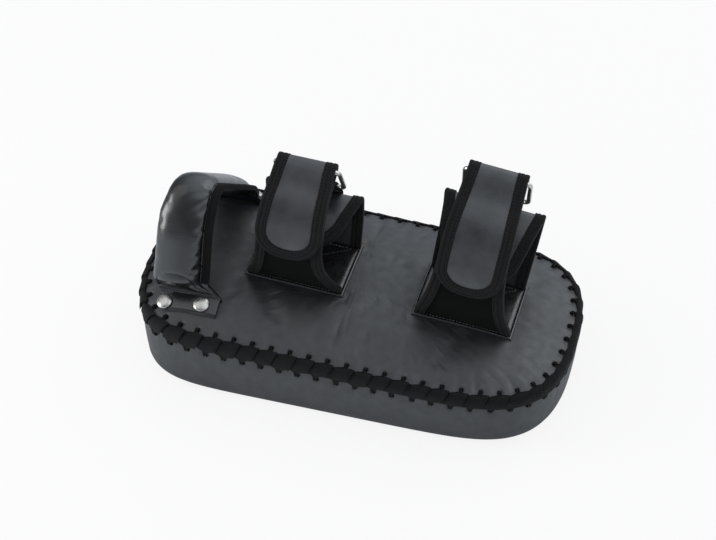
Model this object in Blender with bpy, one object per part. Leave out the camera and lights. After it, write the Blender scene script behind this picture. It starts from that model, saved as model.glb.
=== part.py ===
"""Kick pad: a laced leather pad with a riveted grip handle and two forearm straps.

The pad lies on its strike face. X runs along its length, from the handle to the elbow
end, Z points up through the back, and the origin is at the middle of the strike face.
Every size is in metres.
"""

import math

import bmesh
import bpy
import numpy as np
from mathutils import Matrix, Vector

MM = 0.001
GAP = 0.3 * MM  # between faces that touch on the real pad

# Pad body
PAD_LENGTH = 390 * MM
PAD_WIDTH = 205 * MM
SEAM_HEIGHT = 64.9 * MM  # at mid length
SEAM_DROP = 15.4 * MM  # from the handle end to the elbow end
HANDLE_END_SQUARENESS = (7.9, 2.5)  # exponents along and across
ELBOW_END_SQUARENESS = (5.87, 2.57)
CROWN_HEIGHT = 19.9 * MM  # of the back over the seam, at mid length
CROWN_LOSS = 11.3 * MM  # from the handle end to the elbow end
WALL_BULGE = 3.5 * MM
FLOOR_FILLET = 15 * MM
FRONT_LEATHER = 2.0 * MM
BACK_LEATHER = 1.8 * MM
FILLING_SLACK = 1 * MM  # of the foams inside the leather

# Filling
STRIKE_FOAM = 26 * MM
CORE_TOP_DROP = 21.5 * MM  # below the seam
BOARD_THICKNESS = 3 * MM
BOARD_INSET = 8 * MM
BACK_FOAM_FOOT_INSET = 7 * MM
BACK_FOAM_TOP_INSET = 13 * MM

# Edge lacing
LACE_PITCH = 17.2 * MM
LACE_START = 13 * MM  # of the first upper hole, past the middle of the near side
LACE_SLANT = 0.5  # of a pitch, from an upper hole to the lower hole of its wrap
LACE_THICKNESS = 1.4 * MM
LACE_WIDTH = 15.4 * MM  # where it lies flat over the welt
LACE_NECK = 3.8 * MM  # where it gathers into a hole
HOLE_WIDTH = 5.4 * MM
HOLE_HEIGHT = 3.6 * MM
UPPER_HOLE_INSET = 4.2 * MM
LOWER_HOLE_DROP = 16 * MM  # at mid length
LOWER_HOLE_RISE = 6 * MM  # from the handle end to the elbow end
BAND_FOOT = 5.5 * MM  # from the lower hole up to where a wrap lies flat
LACE_STANDOFF = 0.4 * MM
WELT_THICKNESS = 3 * MM
WELT_HEIGHT = 10 * MM
WELT_DROP = 4.2 * MM  # its middle below the seam

# Handle tabs
TAB_SETBACK = 54 * MM  # of their middle, from the handle end
TAB_INSET = 17 * MM  # of their edge, from the long side
TAB_LENGTH = 17.5 * MM
TAB_MIDDLE = TAB_SETBACK - PAD_LENGTH / 2
TAB_EDGE = PAD_WIDTH / 2 - TAB_INSET
TAB_BEND = TAB_EDGE - TAB_LENGTH
TAB_WIDTH = 57 * MM
TAB_CORNER = 13 * MM  # trimmed off beside the lacing
TAB_TRIM_LENGTH = 11.5 * MM
TAB_RIM = 1.5 * MM

# Handle: sizes in fours run from its near foot over the near leg and the top to its far foot
HANDLE_SHIFTS = (13 * MM, 9.5 * MM, 4.5 * MM, 5 * MM)  # from the tabs' middle, towards the end
HANDLE_WIDTHS = (43.5 * MM, 42 * MM, 34.5 * MM, 40 * MM)
HANDLE_FLANGE = 7 * MM
HANDLE_LEATHER = 1.5 * MM
HANDLE_SEAM_GAP = 0.2 * MM  # half the gap between its two leathers
KNEE_INSET = 7 * MM  # of the near leg's knee, from the tab's bend
KNEE_RISE = 47.1 * MM  # over the seam, as the other rises are
SHOULDER_INSET = 15 * MM
SHOULDER_RISE = 93.1 * MM
TOP_INSET = 40 * MM
TOP_RISE = 120.8 * MM
FAR_KNEE_INSET = 8 * MM
FAR_KNEE_RISE = 47.1 * MM
NEAR_CROWN = 13 * MM  # padding outside the side seam, on the near leg
TOP_CROWN = 6.5 * MM  # padding over the top and down the far leg
GRIP_CROWN = 9 * MM  # padding on the side that the fingers close on

# Rivets
OUTER_RIVET_OFFSET = 20 * MM  # from the tab's middle
OUTER_RIVET_INSET = 7 * MM  # from the tab's edge
INNER_RIVET_OFFSET = 13.5 * MM
INNER_RIVET_INSET = 8.5 * MM
RIVET_HEAD = 14.5 * MM
RIVET_DOME = 3.2 * MM
RIVET_SHANK = 3.6 * MM
RIVET_TAIL = 5.6 * MM
RIVET_TAIL_THICKNESS = 1 * MM
BURR_DIAMETER = 8.4 * MM
BURR_THICKNESS = 1 * MM
BURR_DROP = 0.6 * MM  # below the leather, which curves away from it
POCKET_DIAMETER = 10.4 * MM
POCKET_DEPTH = 6 * MM
ROUND_SIDES = 10

# Straps, shared sizes
HAND_SETBACK = 140.4 * MM  # of the patch's middle, from the handle end
ELBOW_SETBACK = 94.3 * MM  # of the patch's middle, from the elbow end
PATCH_LENGTH = 92 * MM
PATCH_NEAR = -35 * MM
PATCH_FAR = 37 * MM
PATCH_LEATHER = 1.6 * MM
WING_FOOT_NEAR = -30.5 * MM
WING_FOOT_FAR = 33 * MM
WING_WIDTH = 86 * MM
BINDING_SLACK = 0.45 * MM
WING_PANEL = 3 * MM
BINDING = 0.9 * MM
BINDING_WIDTH = 9 * MM
STRAP_WIDTH = 58 * MM
FOLD_WIDTH = 52 * MM  # squeezed through the ring
TONGUE_TIP = 27 * MM
FLAP_TIP = 24 * MM
HORIZON_RADIUS = 5 * MM
TOUCH_TAPE = 0.85 * MM  # hook or loop tape
TAPE_WIDTH = 32 * MM
WIRE = 4.2 * MM
RING_INSIDE = 54.5 * MM
RING_CORNER = 5.5 * MM
RING_PLAY = 1.9 * MM
RING_LENGTH = 43 * MM  # between the middles of its two bars
KEEPER_WEBBING = 1.5 * MM
KEEPER_WIDTH = 45 * MM
KEEPER_TAIL = 16 * MM


class StrapShape:
    """What differs between the two straps: profiles are (across, up) from the patch."""

    def __init__(
        self, x, lean, near, bar, far, flap, horizon, flap_width, tip_at, shoulder, sway
    ):
        self.x = x
        self.lean = lean
        self.near = near
        self.bar = bar
        self.far = far
        self.flap = flap
        self.horizon = horizon
        self.flap_width = flap_width
        self.tip_at = tip_at
        self.shoulder = shoulder
        self.sway = sway


def millimetres(*pairs):
    return [(a * MM, b * MM) for a, b in pairs]


STRAPS = {
    "hand": StrapShape(
        x=HAND_SETBACK - PAD_LENGTH / 2,
        lean=math.radians(2.8),
        near=millimetres((-47, 30), (-50, 58), (-41, 93)),
        bar=(-5 * MM, 114 * MM),
        far=millimetres((39, 28), (37, 55)),
        flap=millimetres((12, 49), (-20, 33)),
        horizon=(89 * MM, -2.7 * MM),
        flap_width=54 * MM,
        tip_at=54 * MM,
        shoulder=38 * MM,
        sway=1.8 * MM,
    ),
    "elbow": StrapShape(
        x=PAD_LENGTH / 2 - ELBOW_SETBACK,
        lean=math.radians(6.9),
        near=millimetres((-44, 35), (-45, 70), (-35, 110)),
        bar=(13 * MM, 138 * MM),
        far=millimetres((47, 38), (50, 79)),
        flap=millimetres((20, 66), (-16, 38)),
        horizon=(91 * MM, 0.0),
        flap_width=62 * MM,
        tip_at=56 * MM,
        shoulder=62 * MM,
        sway=0.5 * MM,
    ),
}


def clear_scene():
    for obj in list(bpy.data.objects):
        bpy.data.objects.remove(obj, do_unlink=True)


def make_material(name, colour, roughness, metallic=0.0):
    material = bpy.data.materials.new(name)
    material.use_nodes = True
    shader = material.node_tree.nodes["Principled BSDF"]
    shader.inputs["Base Color"].default_value = (*colour, 1.0)
    shader.inputs["Roughness"].default_value = roughness
    shader.inputs["Metallic"].default_value = metallic
    material.diffuse_color = (*colour, 1.0)
    return material


def add_solid(name, points, faces, material, parent=None, smooth=35):
    """A named object from points and faces, with its faces turned outwards."""
    mesh = bpy.data.meshes.new(name)
    body = bmesh.new()
    corners = [body.verts.new(Vector(point)) for point in points]
    for face in faces:
        body.faces.new([corners[index] for index in face])
    bmesh.ops.recalc_face_normals(body, faces=body.faces)
    body.to_mesh(mesh)
    body.free()
    mesh.materials.append(material)
    mesh.shade_smooth()
    mesh.set_sharp_from_angle(angle=math.radians(smooth))
    obj = bpy.data.objects.new(name, mesh)
    obj.parent = parent
    bpy.context.scene.collection.objects.link(obj)
    return obj


def add_empty(name, location, parent=None, tilt=0.0):
    empty = bpy.data.objects.new(name, None)
    empty.location = location
    empty.rotation_euler = (0.0, tilt, 0.0)
    empty.parent = parent
    bpy.context.scene.collection.objects.link(empty)
    return empty


def loft(name, rings, material, parent=None, closed=False, smooth=35):
    """Joins rings of points, each with as many, into one body; capped unless closed."""
    size = len(rings[0])
    points = [point for ring in rings for point in ring]
    faces = []
    last = len(rings) if closed else len(rings) - 1
    for row in range(last):
        below = row * size
        above = (row + 1) % len(rings) * size
        for column in range(size):
            after = (column + 1) % size
            faces.append(
                (below + column, below + after, above + after, above + column)
            )
    if not closed:
        faces.append(tuple(range(size)))
        faces.append(tuple(range(len(points) - size, len(points))))
    return add_solid(name, points, faces, material, parent, smooth)


def cut(obj, cutters):
    for cutter in cutters:
        cutter.hide_render = True
        cutter.display_type = "WIRE"
        boolean = obj.modifiers.new("Cut " + cutter.name, "BOOLEAN")
        boolean.operation = "DIFFERENCE"
        boolean.solver = "EXACT"
        boolean.object = cutter


# The pad's surfaces


def squareness(x):
    return HANDLE_END_SQUARENESS if x < 0 else ELBOW_END_SQUARENESS


def edge_share(x, y):
    """0 in the middle of the pad and 1 on its outline."""
    along, across = squareness(x)
    reach = abs(2 * x / PAD_LENGTH) ** along + abs(2 * y / PAD_WIDTH) ** across
    return min(reach, 1.0)


def seam_z(x):
    return SEAM_HEIGHT - SEAM_DROP * x / PAD_LENGTH


def back_z(x, y):
    """Height of the back cover's outer face."""
    crown = CROWN_HEIGHT - CROWN_LOSS * x / PAD_LENGTH
    return seam_z(x) + GAP / 2 + BACK_LEATHER + crown * (1 - edge_share(x, y))


def back_normal(x, y):
    step = 0.5 * MM
    slope_x = (back_z(x + step, y) - back_z(x - step, y)) / (2 * step)
    slope_y = (back_z(x, y + step) - back_z(x, y - step)) / (2 * step)
    return Vector((-slope_x, -slope_y, 1.0)).normalized()


def wall_reach(z, x):
    """How far the side wall stands outside the outline at this height."""
    drop = min(max(1 - z / seam_z(x), 0.0), 1.0)
    return WALL_BULGE * math.sin(math.pi * drop**0.75)


def outline_table():
    """The outline's points, from the middle of the near side, and the length to each."""
    points = []
    steps = 720
    for step in range(steps):
        angle = 2 * math.pi * (step / steps - 0.25)
        c, s = math.cos(angle), math.sin(angle)
        along, across = squareness(c)
        x = math.copysign(abs(c) ** (2 / along), c) * PAD_LENGTH / 2
        y = math.copysign(abs(s) ** (2 / across), s) * PAD_WIDTH / 2
        points.append((x, y))
    points = np.array(points + points[:1])
    lengths = np.concatenate(
        [[0.0], np.cumsum(np.linalg.norm(np.diff(points, axis=0), axis=1))]
    )
    return points, lengths


OUTLINE, OUTLINE_LENGTHS = outline_table()
PERIMETER = OUTLINE_LENGTHS[-1]
WRAPS = max(24, round(PERIMETER / LACE_PITCH))


def outline_at(share):
    """Point, tangent and outward normal at this share of the way round."""
    near = 0.002
    around = [(share + shift) % 1.0 * PERIMETER for shift in (-near, 0.0, near)]
    before, here, after = (
        np.array([np.interp(s, OUTLINE_LENGTHS, OUTLINE[:, k]) for k in (0, 1)])
        for s in around
    )
    tangent = (after - before) / np.linalg.norm(after - before)
    return here, tangent, np.array([tangent[1], -tangent[0]])


def edge_point(share, out, z=None, drop=0.0):
    """A point outside the outline by out, at height z or below the seam by drop."""
    here, _, normal = outline_at(share)
    x, y = here + normal * out
    return (x, y, seam_z(x) - drop if z is None else z)


def shrunk_point(share, scale):
    here, _, _ = outline_at(share)
    return here * scale


def lower_hole_drop(share):
    x = outline_at(share)[0][0]
    return LOWER_HOLE_DROP - LOWER_HOLE_RISE * x / PAD_LENGTH


# Covers


def hole_shares(index, slant):
    """Shares of the way round at a hole's two sides and its middle."""
    half = HOLE_WIDTH / 2 / PERIMETER
    middle = (index + slant) / WRAPS + LACE_START / PERIMETER
    return middle - half, middle + half, middle


class Shell:
    """Gathers a leather shell that has a row of lacing holes below its rim."""

    def __init__(self, slant):
        self.slant = slant
        self.points = []
        self.faces = []

    def add_row(self, place, fine):
        """One row round the pad: at the holes' sides if fine, else at their middles."""
        row = []
        for index in range(WRAPS):
            left, right, middle = hole_shares(index, self.slant)
            for share in (left, right) if fine else (middle,):
                row.append(len(self.points))
                self.points.append(place(share))
        return row

    def join(self, first, second):
        size = len(first)
        for k in range(size):
            after = (k + 1) % size
            self.faces.append((first[k], first[after], second[after], second[k]))

    def join_with_holes(self, first, second):
        size = len(first)
        for k in range(1, size, 2):
            after = (k + 1) % size
            self.faces.append((first[k], first[after], second[after], second[k]))

    def join_to_coarse(self, fine, coarse):
        for k, middle in enumerate(coarse):
            left, right = fine[2 * k], fine[2 * k + 1]
            after = (k + 1) % len(coarse)
            self.faces.append((left, right, middle))
            self.faces.append((right, fine[2 * after], coarse[after], middle))

    def line_holes(self, outer_first, outer_second, inner_first, inner_second):
        for k in range(0, len(outer_first), 2):
            outer = (
                outer_first[k],
                outer_first[k + 1],
                outer_second[k + 1],
                outer_second[k],
            )
            inner = (
                inner_first[k],
                inner_first[k + 1],
                inner_second[k + 1],
                inner_second[k],
            )
            for side in range(4):
                after = (side + 1) % 4
                self.faces.append(
                    (outer[side], outer[after], inner[after], inner[side])
                )

    def add_skin(self, rim, hole_top, hole_bottom, coarse_rows, centre=None):
        """One face of the leather: rim, hole row, plain rows, then a flat or a peak."""
        fine = [self.add_row(place, True) for place in (rim, hole_top, hole_bottom)]
        rows = [self.add_row(place, False) for place in coarse_rows]
        self.join(fine[0], fine[1])
        self.join_with_holes(fine[1], fine[2])
        self.join_to_coarse(fine[2], rows[0])
        for first, second in zip(rows, rows[1:]):
            self.join(first, second)
        if centre is None:
            self.faces.append(tuple(rows[-1]))
        else:
            peak = len(self.points)
            self.points.append(centre)
            for k, corner in enumerate(rows[-1]):
                self.faces.append((corner, rows[-1][(k + 1) % len(rows[-1])], peak))
        return fine


def front_wall_places(inset):
    """Rows of the front cover from the rim down, this far inside its outer face."""

    def wall(share, drop):
        x, _, z = edge_point(share, 0.0, drop=drop)
        return edge_point(share, wall_reach(z, x) - inset, drop=drop)

    def rim(share):
        return wall(share, GAP / 2)

    def above_hole(share):
        return wall(share, lower_hole_drop(share) - HOLE_HEIGHT / 2)

    def below_hole(share):
        return wall(share, lower_hole_drop(share) + HOLE_HEIGHT / 2)

    def fillet(angle):
        radius = FLOOR_FILLET - inset

        def place(share):
            x, _, _ = edge_point(share, 0.0)
            middle = wall_reach(FLOOR_FILLET, x) - FLOOR_FILLET
            return edge_point(
                share,
                middle + radius * math.cos(angle),
                z=FLOOR_FILLET - radius * math.sin(angle),
            )

        return place

    coarse = (fillet(0.0), fillet(math.pi / 4), fillet(math.pi / 2))
    return (rim, above_hole, below_hole), coarse


def build_front_cover(material):
    shell = Shell(1 - LACE_SLANT)
    fine, coarse = front_wall_places(0.0)
    outer = shell.add_skin(*fine, coarse)
    fine, coarse = front_wall_places(FRONT_LEATHER)
    inner = shell.add_skin(*fine, coarse)
    shell.join(outer[0], inner[0])
    shell.line_holes(outer[1], outer[2], inner[1], inner[2])
    return add_solid("front_cover", shell.points, shell.faces, material)


BACK_ROWS = (0.8, 0.62, 0.38)  # shares of the way out from the middle


def back_places(depth):
    """Rows of the back cover from its rim to its middle, this far under its face."""

    def inside(inset):
        def place(share):
            x, y, _ = edge_point(share, -inset)
            return (x, y, back_z(x, y) - depth)

        return place

    def shrunk(scale):
        def place(share):
            x, y = shrunk_point(share, scale)
            return (x, y, back_z(x, y) - depth)

        return place

    fine = (
        inside(0.0),
        inside(UPPER_HOLE_INSET - HOLE_HEIGHT / 2),
        inside(UPPER_HOLE_INSET + HOLE_HEIGHT / 2),
    )
    coarse = [inside(BACK_FOAM_TOP_INSET), *(shrunk(scale) for scale in BACK_ROWS)]
    return fine, coarse


def build_back_cover(material):
    shell = Shell(0.0)
    rims = []
    for depth in (0.0, BACK_LEATHER):
        fine, coarse = back_places(depth)
        peak = (0.0, 0.0, back_z(0.0, 0.0) - depth)
        rims.append(shell.add_skin(*fine, coarse, peak))
    outer, inner = rims
    shell.join(outer[0], inner[0])
    shell.line_holes(outer[1], outer[2], inner[1], inner[2])
    return add_solid("back_cover", shell.points, shell.faces, material)


# Filling


def ring_round(place, slant=0.0):
    return [place(hole_shares(index, slant)[2]) for index in range(WRAPS)]


def wall_ring(z_of_x, inset):
    """A ring just inside the front cover's wall, at a height that may slope."""

    def place(share):
        x, _, _ = edge_point(share, 0.0)
        out = wall_reach(z_of_x(x), x) - FRONT_LEATHER - inset
        x, y, _ = edge_point(share, out)
        return (x, y, z_of_x(x))

    return ring_round(place, 1 - LACE_SLANT)


def floor_ring(angle):
    radius = FLOOR_FILLET - FRONT_LEATHER

    def place(share):
        x, _, _ = edge_point(share, 0.0)
        middle = wall_reach(FLOOR_FILLET, x) - FLOOR_FILLET - FILLING_SLACK
        out = middle + radius * math.cos(angle)
        height = FLOOR_FILLET + GAP - radius * math.sin(angle)
        return edge_point(share, out, z=height)

    return ring_round(place, 1 - LACE_SLANT)


def build_filling(foam, board):
    strike_top = FRONT_LEATHER + GAP + STRIKE_FOAM
    loft(
        "strike_foam",
        [
            floor_ring(math.pi / 2),
            floor_ring(0.0),
            wall_ring(lambda x: strike_top, FILLING_SLACK),
        ],
        foam,
    )
    loft(
        "core_foam",
        [
            wall_ring(lambda x: strike_top + GAP, FILLING_SLACK),
            wall_ring(lambda x: seam_z(x) - CORE_TOP_DROP, FILLING_SLACK),
        ],
        foam,
    )
    board_drop = CORE_TOP_DROP - GAP
    loft(
        "stiffener_board",
        [
            wall_ring(lambda x: seam_z(x) - board_drop, BOARD_INSET),
            wall_ring(lambda x: seam_z(x) - board_drop + BOARD_THICKNESS, BOARD_INSET),
        ],
        board,
    )
    foot_drop = board_drop - BOARD_THICKNESS - GAP

    def under_back(place_xy):
        def place(share):
            x, y = place_xy(share)
            return (x, y, back_z(x, y) - BACK_LEATHER - 2 * GAP)

        return ring_round(place)

    rings = [
        wall_ring(lambda x: seam_z(x) - foot_drop, BACK_FOAM_FOOT_INSET),
        under_back(lambda share: edge_point(share, -BACK_FOAM_TOP_INSET)[:2]),
    ]
    for scale in BACK_ROWS:
        rings.append(under_back(lambda share, scale=scale: shrunk_point(share, scale)))
    return loft("back_foam", rings, foam)


# Welt and lacing


def build_welt(material):
    """A flat filler band that lies over the seam, under the lacing."""
    sides = 6
    rings = []
    for index in range(WRAPS):
        share = hole_shares(index, 0.0)[2]
        ring = []
        for side in range(sides):
            angle = 2 * math.pi * (side + 0.5) / sides
            out = math.cos(angle) * WELT_THICKNESS / 2
            drop = WELT_DROP - math.sin(angle) * WELT_HEIGHT / 2
            x, _, z = edge_point(share, 0.0, drop=drop)
            bulge = wall_reach(z, x) if drop > 0 else 0.0
            middle = 2 * GAP + WELT_THICKNESS / 2 + bulge
            ring.append(edge_point(share, middle + out, drop=drop))
        rings.append(ring)
    return loft("edge_welt", rings, material, closed=True)


def upper_share(index):
    """The lace works backwards round the outline, from its first upper hole."""
    return (LACE_START / PERIMETER - index / WRAPS) % 1.0


def under_upper_hole(share):
    x, y, _ = edge_point(share, -UPPER_HOLE_INSET)
    depth = BACK_LEATHER + LACE_STANDOFF + LACE_THICKNESS / 2
    return (share, -UPPER_HOLE_INSET, back_z(x, y) - depth, LACE_NECK)


def wrap_stations(index):
    """One wrap, as (share, out, height, width), from over its upper hole to inside."""
    start = upper_share(index)
    slant = LACE_SLANT / WRAPS
    half = LACE_THICKNESS / 2
    x, y, _ = edge_point(start, -UPPER_HOLE_INSET)
    over = (start, -UPPER_HOLE_INSET, back_z(x, y) + LACE_STANDOFF + half, LACE_NECK)
    rest = WELT_THICKNESS + LACE_STANDOFF + half + 2 * GAP
    above = WELT_HEIGHT / 2 - WELT_DROP + LACE_STANDOFF + half
    over_rim = BACK_LEATHER + LACE_STANDOFF + half + 2 * GAP
    low = start - slant
    low_drop = lower_hole_drop(low)
    stations = [over]
    for part, out, drop, width in (
        (0.08, -0.1, -over_rim, 0.42),
        (0.25, 0.7, -above, 0.85),
        (0.45, 1.0, above / 2, 1.0),
        (0.8, 1.0, low_drop - BAND_FOOT, 0.97),
    ):
        share = start - slant * part
        x, _, z = edge_point(share, 0.0, drop=drop)
        bulge = wall_reach(z, x) if drop > 0 else 0.0
        stations.append((share, rest * out + bulge, z, LACE_WIDTH * width))
    x, _, z = edge_point(low, 0.0, drop=low_drop)
    wall = wall_reach(z, x)
    stations.append((low, wall + LACE_STANDOFF + GAP + half, z, LACE_NECK))
    inside = wall - FRONT_LEATHER - LACE_STANDOFF - GAP - half
    stations.append((low, inside, z, LACE_NECK))
    stations.append(under_upper_hole(upper_share(index + 1)))
    return stations


def lace_rings():
    """Four corners at each station, square to the lace's run and level with the rim."""
    stations = [under_upper_hole(upper_share(0))]
    for index in range(WRAPS):
        stations.extend(wrap_stations(index))
    stations.pop()
    centres = [np.array(edge_point(s, out, z=z)) for s, out, z, _ in stations]
    rings = []
    for k, (share, _, _, width) in enumerate(stations):
        tangent = outline_at(share)[1]
        along = np.array([tangent[0], tangent[1], 0.0])

        def flattened(step):
            step = step - along * (step @ along)
            return step / np.linalg.norm(step)

        ends = (max(k - 1, 0), min(k + 1, len(centres) - 1))
        arriving = flattened(centres[k] - centres[ends[0]]) if k > ends[0] else None
        leaving = flattened(centres[ends[1]] - centres[k]) if k < ends[1] else arriving
        arriving = leaving if arriving is None else arriving
        heading = flattened(arriving + leaving)
        across = np.cross(along, heading)
        stretch = 1 / max(0.6, float(heading @ leaving))
        half = across * LACE_THICKNESS / 2 * stretch
        side = along * width / 2
        corners = (side + half, half - side, -side - half, side - half)
        rings.append([centres[k] + corner for corner in corners])
    return np.array(rings)


def least_lace_gap(rings):
    """Least distance from each wrap's points to the next two wraps' points."""
    parts = np.linspace(0, 1, 5)[:-1, None, None]
    dense = np.concatenate([a + (b - a) * parts for a, b in zip(rings, rings[1:])])
    middles = (dense + np.roll(dense, 1, axis=1)) / 2
    points = np.concatenate([dense, middles], axis=1)
    per_wrap = (len(rings) - 1) // WRAPS * 4 + 4
    least = math.inf
    for k in range(0, len(points) - per_wrap, 4):
        here = points[k].reshape(-1, 1, 3)
        there = points[k + per_wrap // 2 : k + 2 * per_wrap].reshape(1, -1, 3)
        least = min(least, float(np.linalg.norm(here - there, axis=2).min()))
    return least


def build_lacing(material):
    """One flat lace whipped over the welt, through an upper and a lower hole a wrap."""
    rings = lace_rings()
    gap = least_lace_gap(rings) / MM
    print(f"edge_lacing: {WRAPS} wraps, least gap to itself {gap:.2f} mm")
    return loft("edge_lacing", [[tuple(p) for p in ring] for ring in rings], material)


# Side profiles


def fillet(before, here, after, radius):
    """Middle, radius, first angle and turn of the round bend at a corner."""
    before, here, after = (np.array(p, float) for p in (before, here, after))
    back = (before - here) / np.linalg.norm(before - here)
    on = (after - here) / np.linalg.norm(after - here)
    half = math.acos(max(-1.0, min(1.0, float(back @ on)))) / 2
    room = 0.48 * min(np.linalg.norm(before - here), np.linalg.norm(after - here))
    reach = min(radius / math.tan(half), room)
    radius = reach * math.tan(half)
    middle = here + (back + on) / np.linalg.norm(back + on) * radius / math.sin(half)
    start = here + back * reach - middle
    end = here + on * reach - middle
    first = math.atan2(start[1], start[0])
    turn = math.atan2(end[1], end[0]) - first
    turn = (turn + math.pi) % (2 * math.pi) - math.pi
    return middle, radius, first, turn


def arc(middle, radius, first, turn, segments):
    angles = first + turn * np.linspace(0, 1, segments + 1)
    return [
        (middle[0] + radius * math.cos(a), middle[1] + radius * math.sin(a))
        for a in angles
    ]


def rounded(corners, radii, step=30):
    """A run of straight lines with a round bend at each inner corner, in one plane."""
    points = [corners[0]]
    for k, radius in enumerate(radii, 1):
        bend = fillet(*corners[k - 1 : k + 2], radius)
        points += arc(*bend, math.ceil(abs(bend[3]) / math.radians(step)))
    return np.array([*points, corners[-1]])


class Profile:
    """A path in (across, up), read by the length along it; side 1 is on its left."""

    def __init__(self, points, side=1, sideways=None):
        self.points = np.array(points, float)
        steps = np.diff(self.points, axis=0)
        lengths = np.linalg.norm(steps, axis=1)
        self.stops = np.concatenate([[0.0], np.cumsum(lengths)])
        self.length = self.stops[-1]
        headings = steps / lengths[:, None]
        means = np.vstack([headings[:1], headings[:-1] + headings[1:], headings[-1:]])
        means /= np.linalg.norm(means, axis=1)[:, None]
        stretch = 1 / np.einsum("ij,ij->i", means, np.vstack([headings, headings[-1:]]))
        means *= np.minimum(stretch, 1.3)[:, None]
        self.normals = side * np.column_stack([-means[:, 1], means[:, 0]])
        self.sideways = np.zeros(len(points)) if sideways is None else sideways

    def at(self, s, out=0.0):
        point, normal = (
            np.array([np.interp(s, self.stops, table[:, k]) for k in (0, 1)])
            for table in (self.points, self.normals)
        )
        return point + normal * out

    def place(self, s, x, out):
        y, z = self.at(s, out)
        return (x + float(np.interp(s, self.stops, self.sideways)), y, z)

    def stations(self, start=0.0, end=None, most=0.02):
        """Lengths at the path's own corners, with more where they lie far apart."""
        end = self.length if end is None else end
        inner = [s for s in self.stops if start + 1e-4 < s < end - 1e-4]
        marks = [start, *inner, end]
        filled = [start]
        for first, second in zip(marks, marks[1:]):
            pieces = max(1, math.ceil((second - first) / most))
            filled += [first + (second - first) * k / pieces for k in range(1, pieces + 1)]
        return filled


# Handle


def tab_height(y):
    lift = GAP + HANDLE_LEATHER + HANDLE_SEAM_GAP
    return back_z(TAB_MIDDLE, y) + lift


def handle_profile():
    corners = [
        (-TAB_EDGE, tab_height(-TAB_EDGE)),
        (-TAB_BEND, tab_height(-TAB_BEND)),
        (KNEE_INSET - TAB_BEND, SEAM_HEIGHT + KNEE_RISE),
        (SHOULDER_INSET - TAB_BEND, SEAM_HEIGHT + SHOULDER_RISE),
        (TOP_INSET - TAB_BEND, SEAM_HEIGHT + TOP_RISE),
        (TAB_BEND - FAR_KNEE_INSET, SEAM_HEIGHT + FAR_KNEE_RISE),
        (TAB_BEND, tab_height(TAB_BEND)),
        (TAB_EDGE, tab_height(TAB_EDGE)),
    ]
    radii = [7 * MM, 40 * MM, 60 * MM, 17 * MM, 30 * MM, 9 * MM]
    return Profile(rounded(corners, radii, step=25))


class Handle:
    """Places points of the handle by length along it, across it and out from it."""

    def __init__(self):
        self.profile = handle_profile()
        self.tab = TAB_EDGE - TAB_BEND
        self.length = self.profile.length
        self.blend = 12 * MM

    def from_end(self, s):
        return min(s, self.length - s)

    def stations(self):
        extra = (TAB_TRIM_LENGTH / 2, TAB_TRIM_LENGTH)
        marks = self.profile.stations(most=24 * MM)
        marks += [*extra, *(self.length - s for s in extra)]
        return sorted(marks)

    def on_tab(self, s):
        """1 on a tab and 0 on the arch."""
        past = (self.tab + self.blend - self.from_end(s)) / self.blend
        return min(max(past, 0.0), 1.0)

    def on_arch(self, s, values):
        return float(np.interp(s / self.length, (0.12, 0.35, 0.48, 0.88), values))

    def middle(self, s):
        tab = self.on_tab(s)
        return TAB_MIDDLE - self.on_arch(s, HANDLE_SHIFTS) * (1 - tab)

    def half_width(self, s):
        tab = self.on_tab(s)
        return (TAB_WIDTH * tab + self.on_arch(s, HANDLE_WIDTHS) * (1 - tab)) / 2

    def flange(self, s):
        tab = self.on_tab(s)
        return TAB_RIM * tab + HANDLE_FLANGE * (1 - tab)

    def trim(self, s):
        """Taken off a tab's outer corner, beside the lacing."""
        into = min(self.from_end(s) / TAB_TRIM_LENGTH, 1.0)
        return TAB_CORNER * (1 - into**0.75)

    def swell(self, s, start, run):
        into = (self.from_end(s) - start) / run
        return math.sin(min(max(into, 0.0), 1.0) * math.pi / 2)

    def crown(self, s):
        """Padding outside the side seam."""
        full = self.on_arch(s, (NEAR_CROWN, NEAR_CROWN * 0.65, TOP_CROWN, TOP_CROWN))
        return full * self.swell(s, self.tab + 4 * MM, 11 * MM)

    def grip(self, s):
        """Padding inside the side seam."""
        return GRIP_CROWN * self.swell(s, self.tab + self.blend, 22 * MM)

    def point(self, s, across, out):
        x = self.middle(s) + across
        if self.on_tab(s) == 1.0:
            y = float(self.profile.at(s)[0])
            return (x, y, back_z(x, y) + tab_height(y) - back_z(TAB_MIDDLE, y) + out)
        y, z = self.profile.at(s, out)
        return (x, y, z)


def bowed(half_width, height, steps, power=0.8):
    """Points of a padded side, from one edge over the crown to the other."""
    points = []
    for k in range(steps + 1):
        angle = math.pi * (1 - k / steps)
        c, s = math.cos(angle), math.sin(angle)
        points.append((math.copysign(abs(c) ** power, c) * half_width, s**power * height))
    return points


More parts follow.
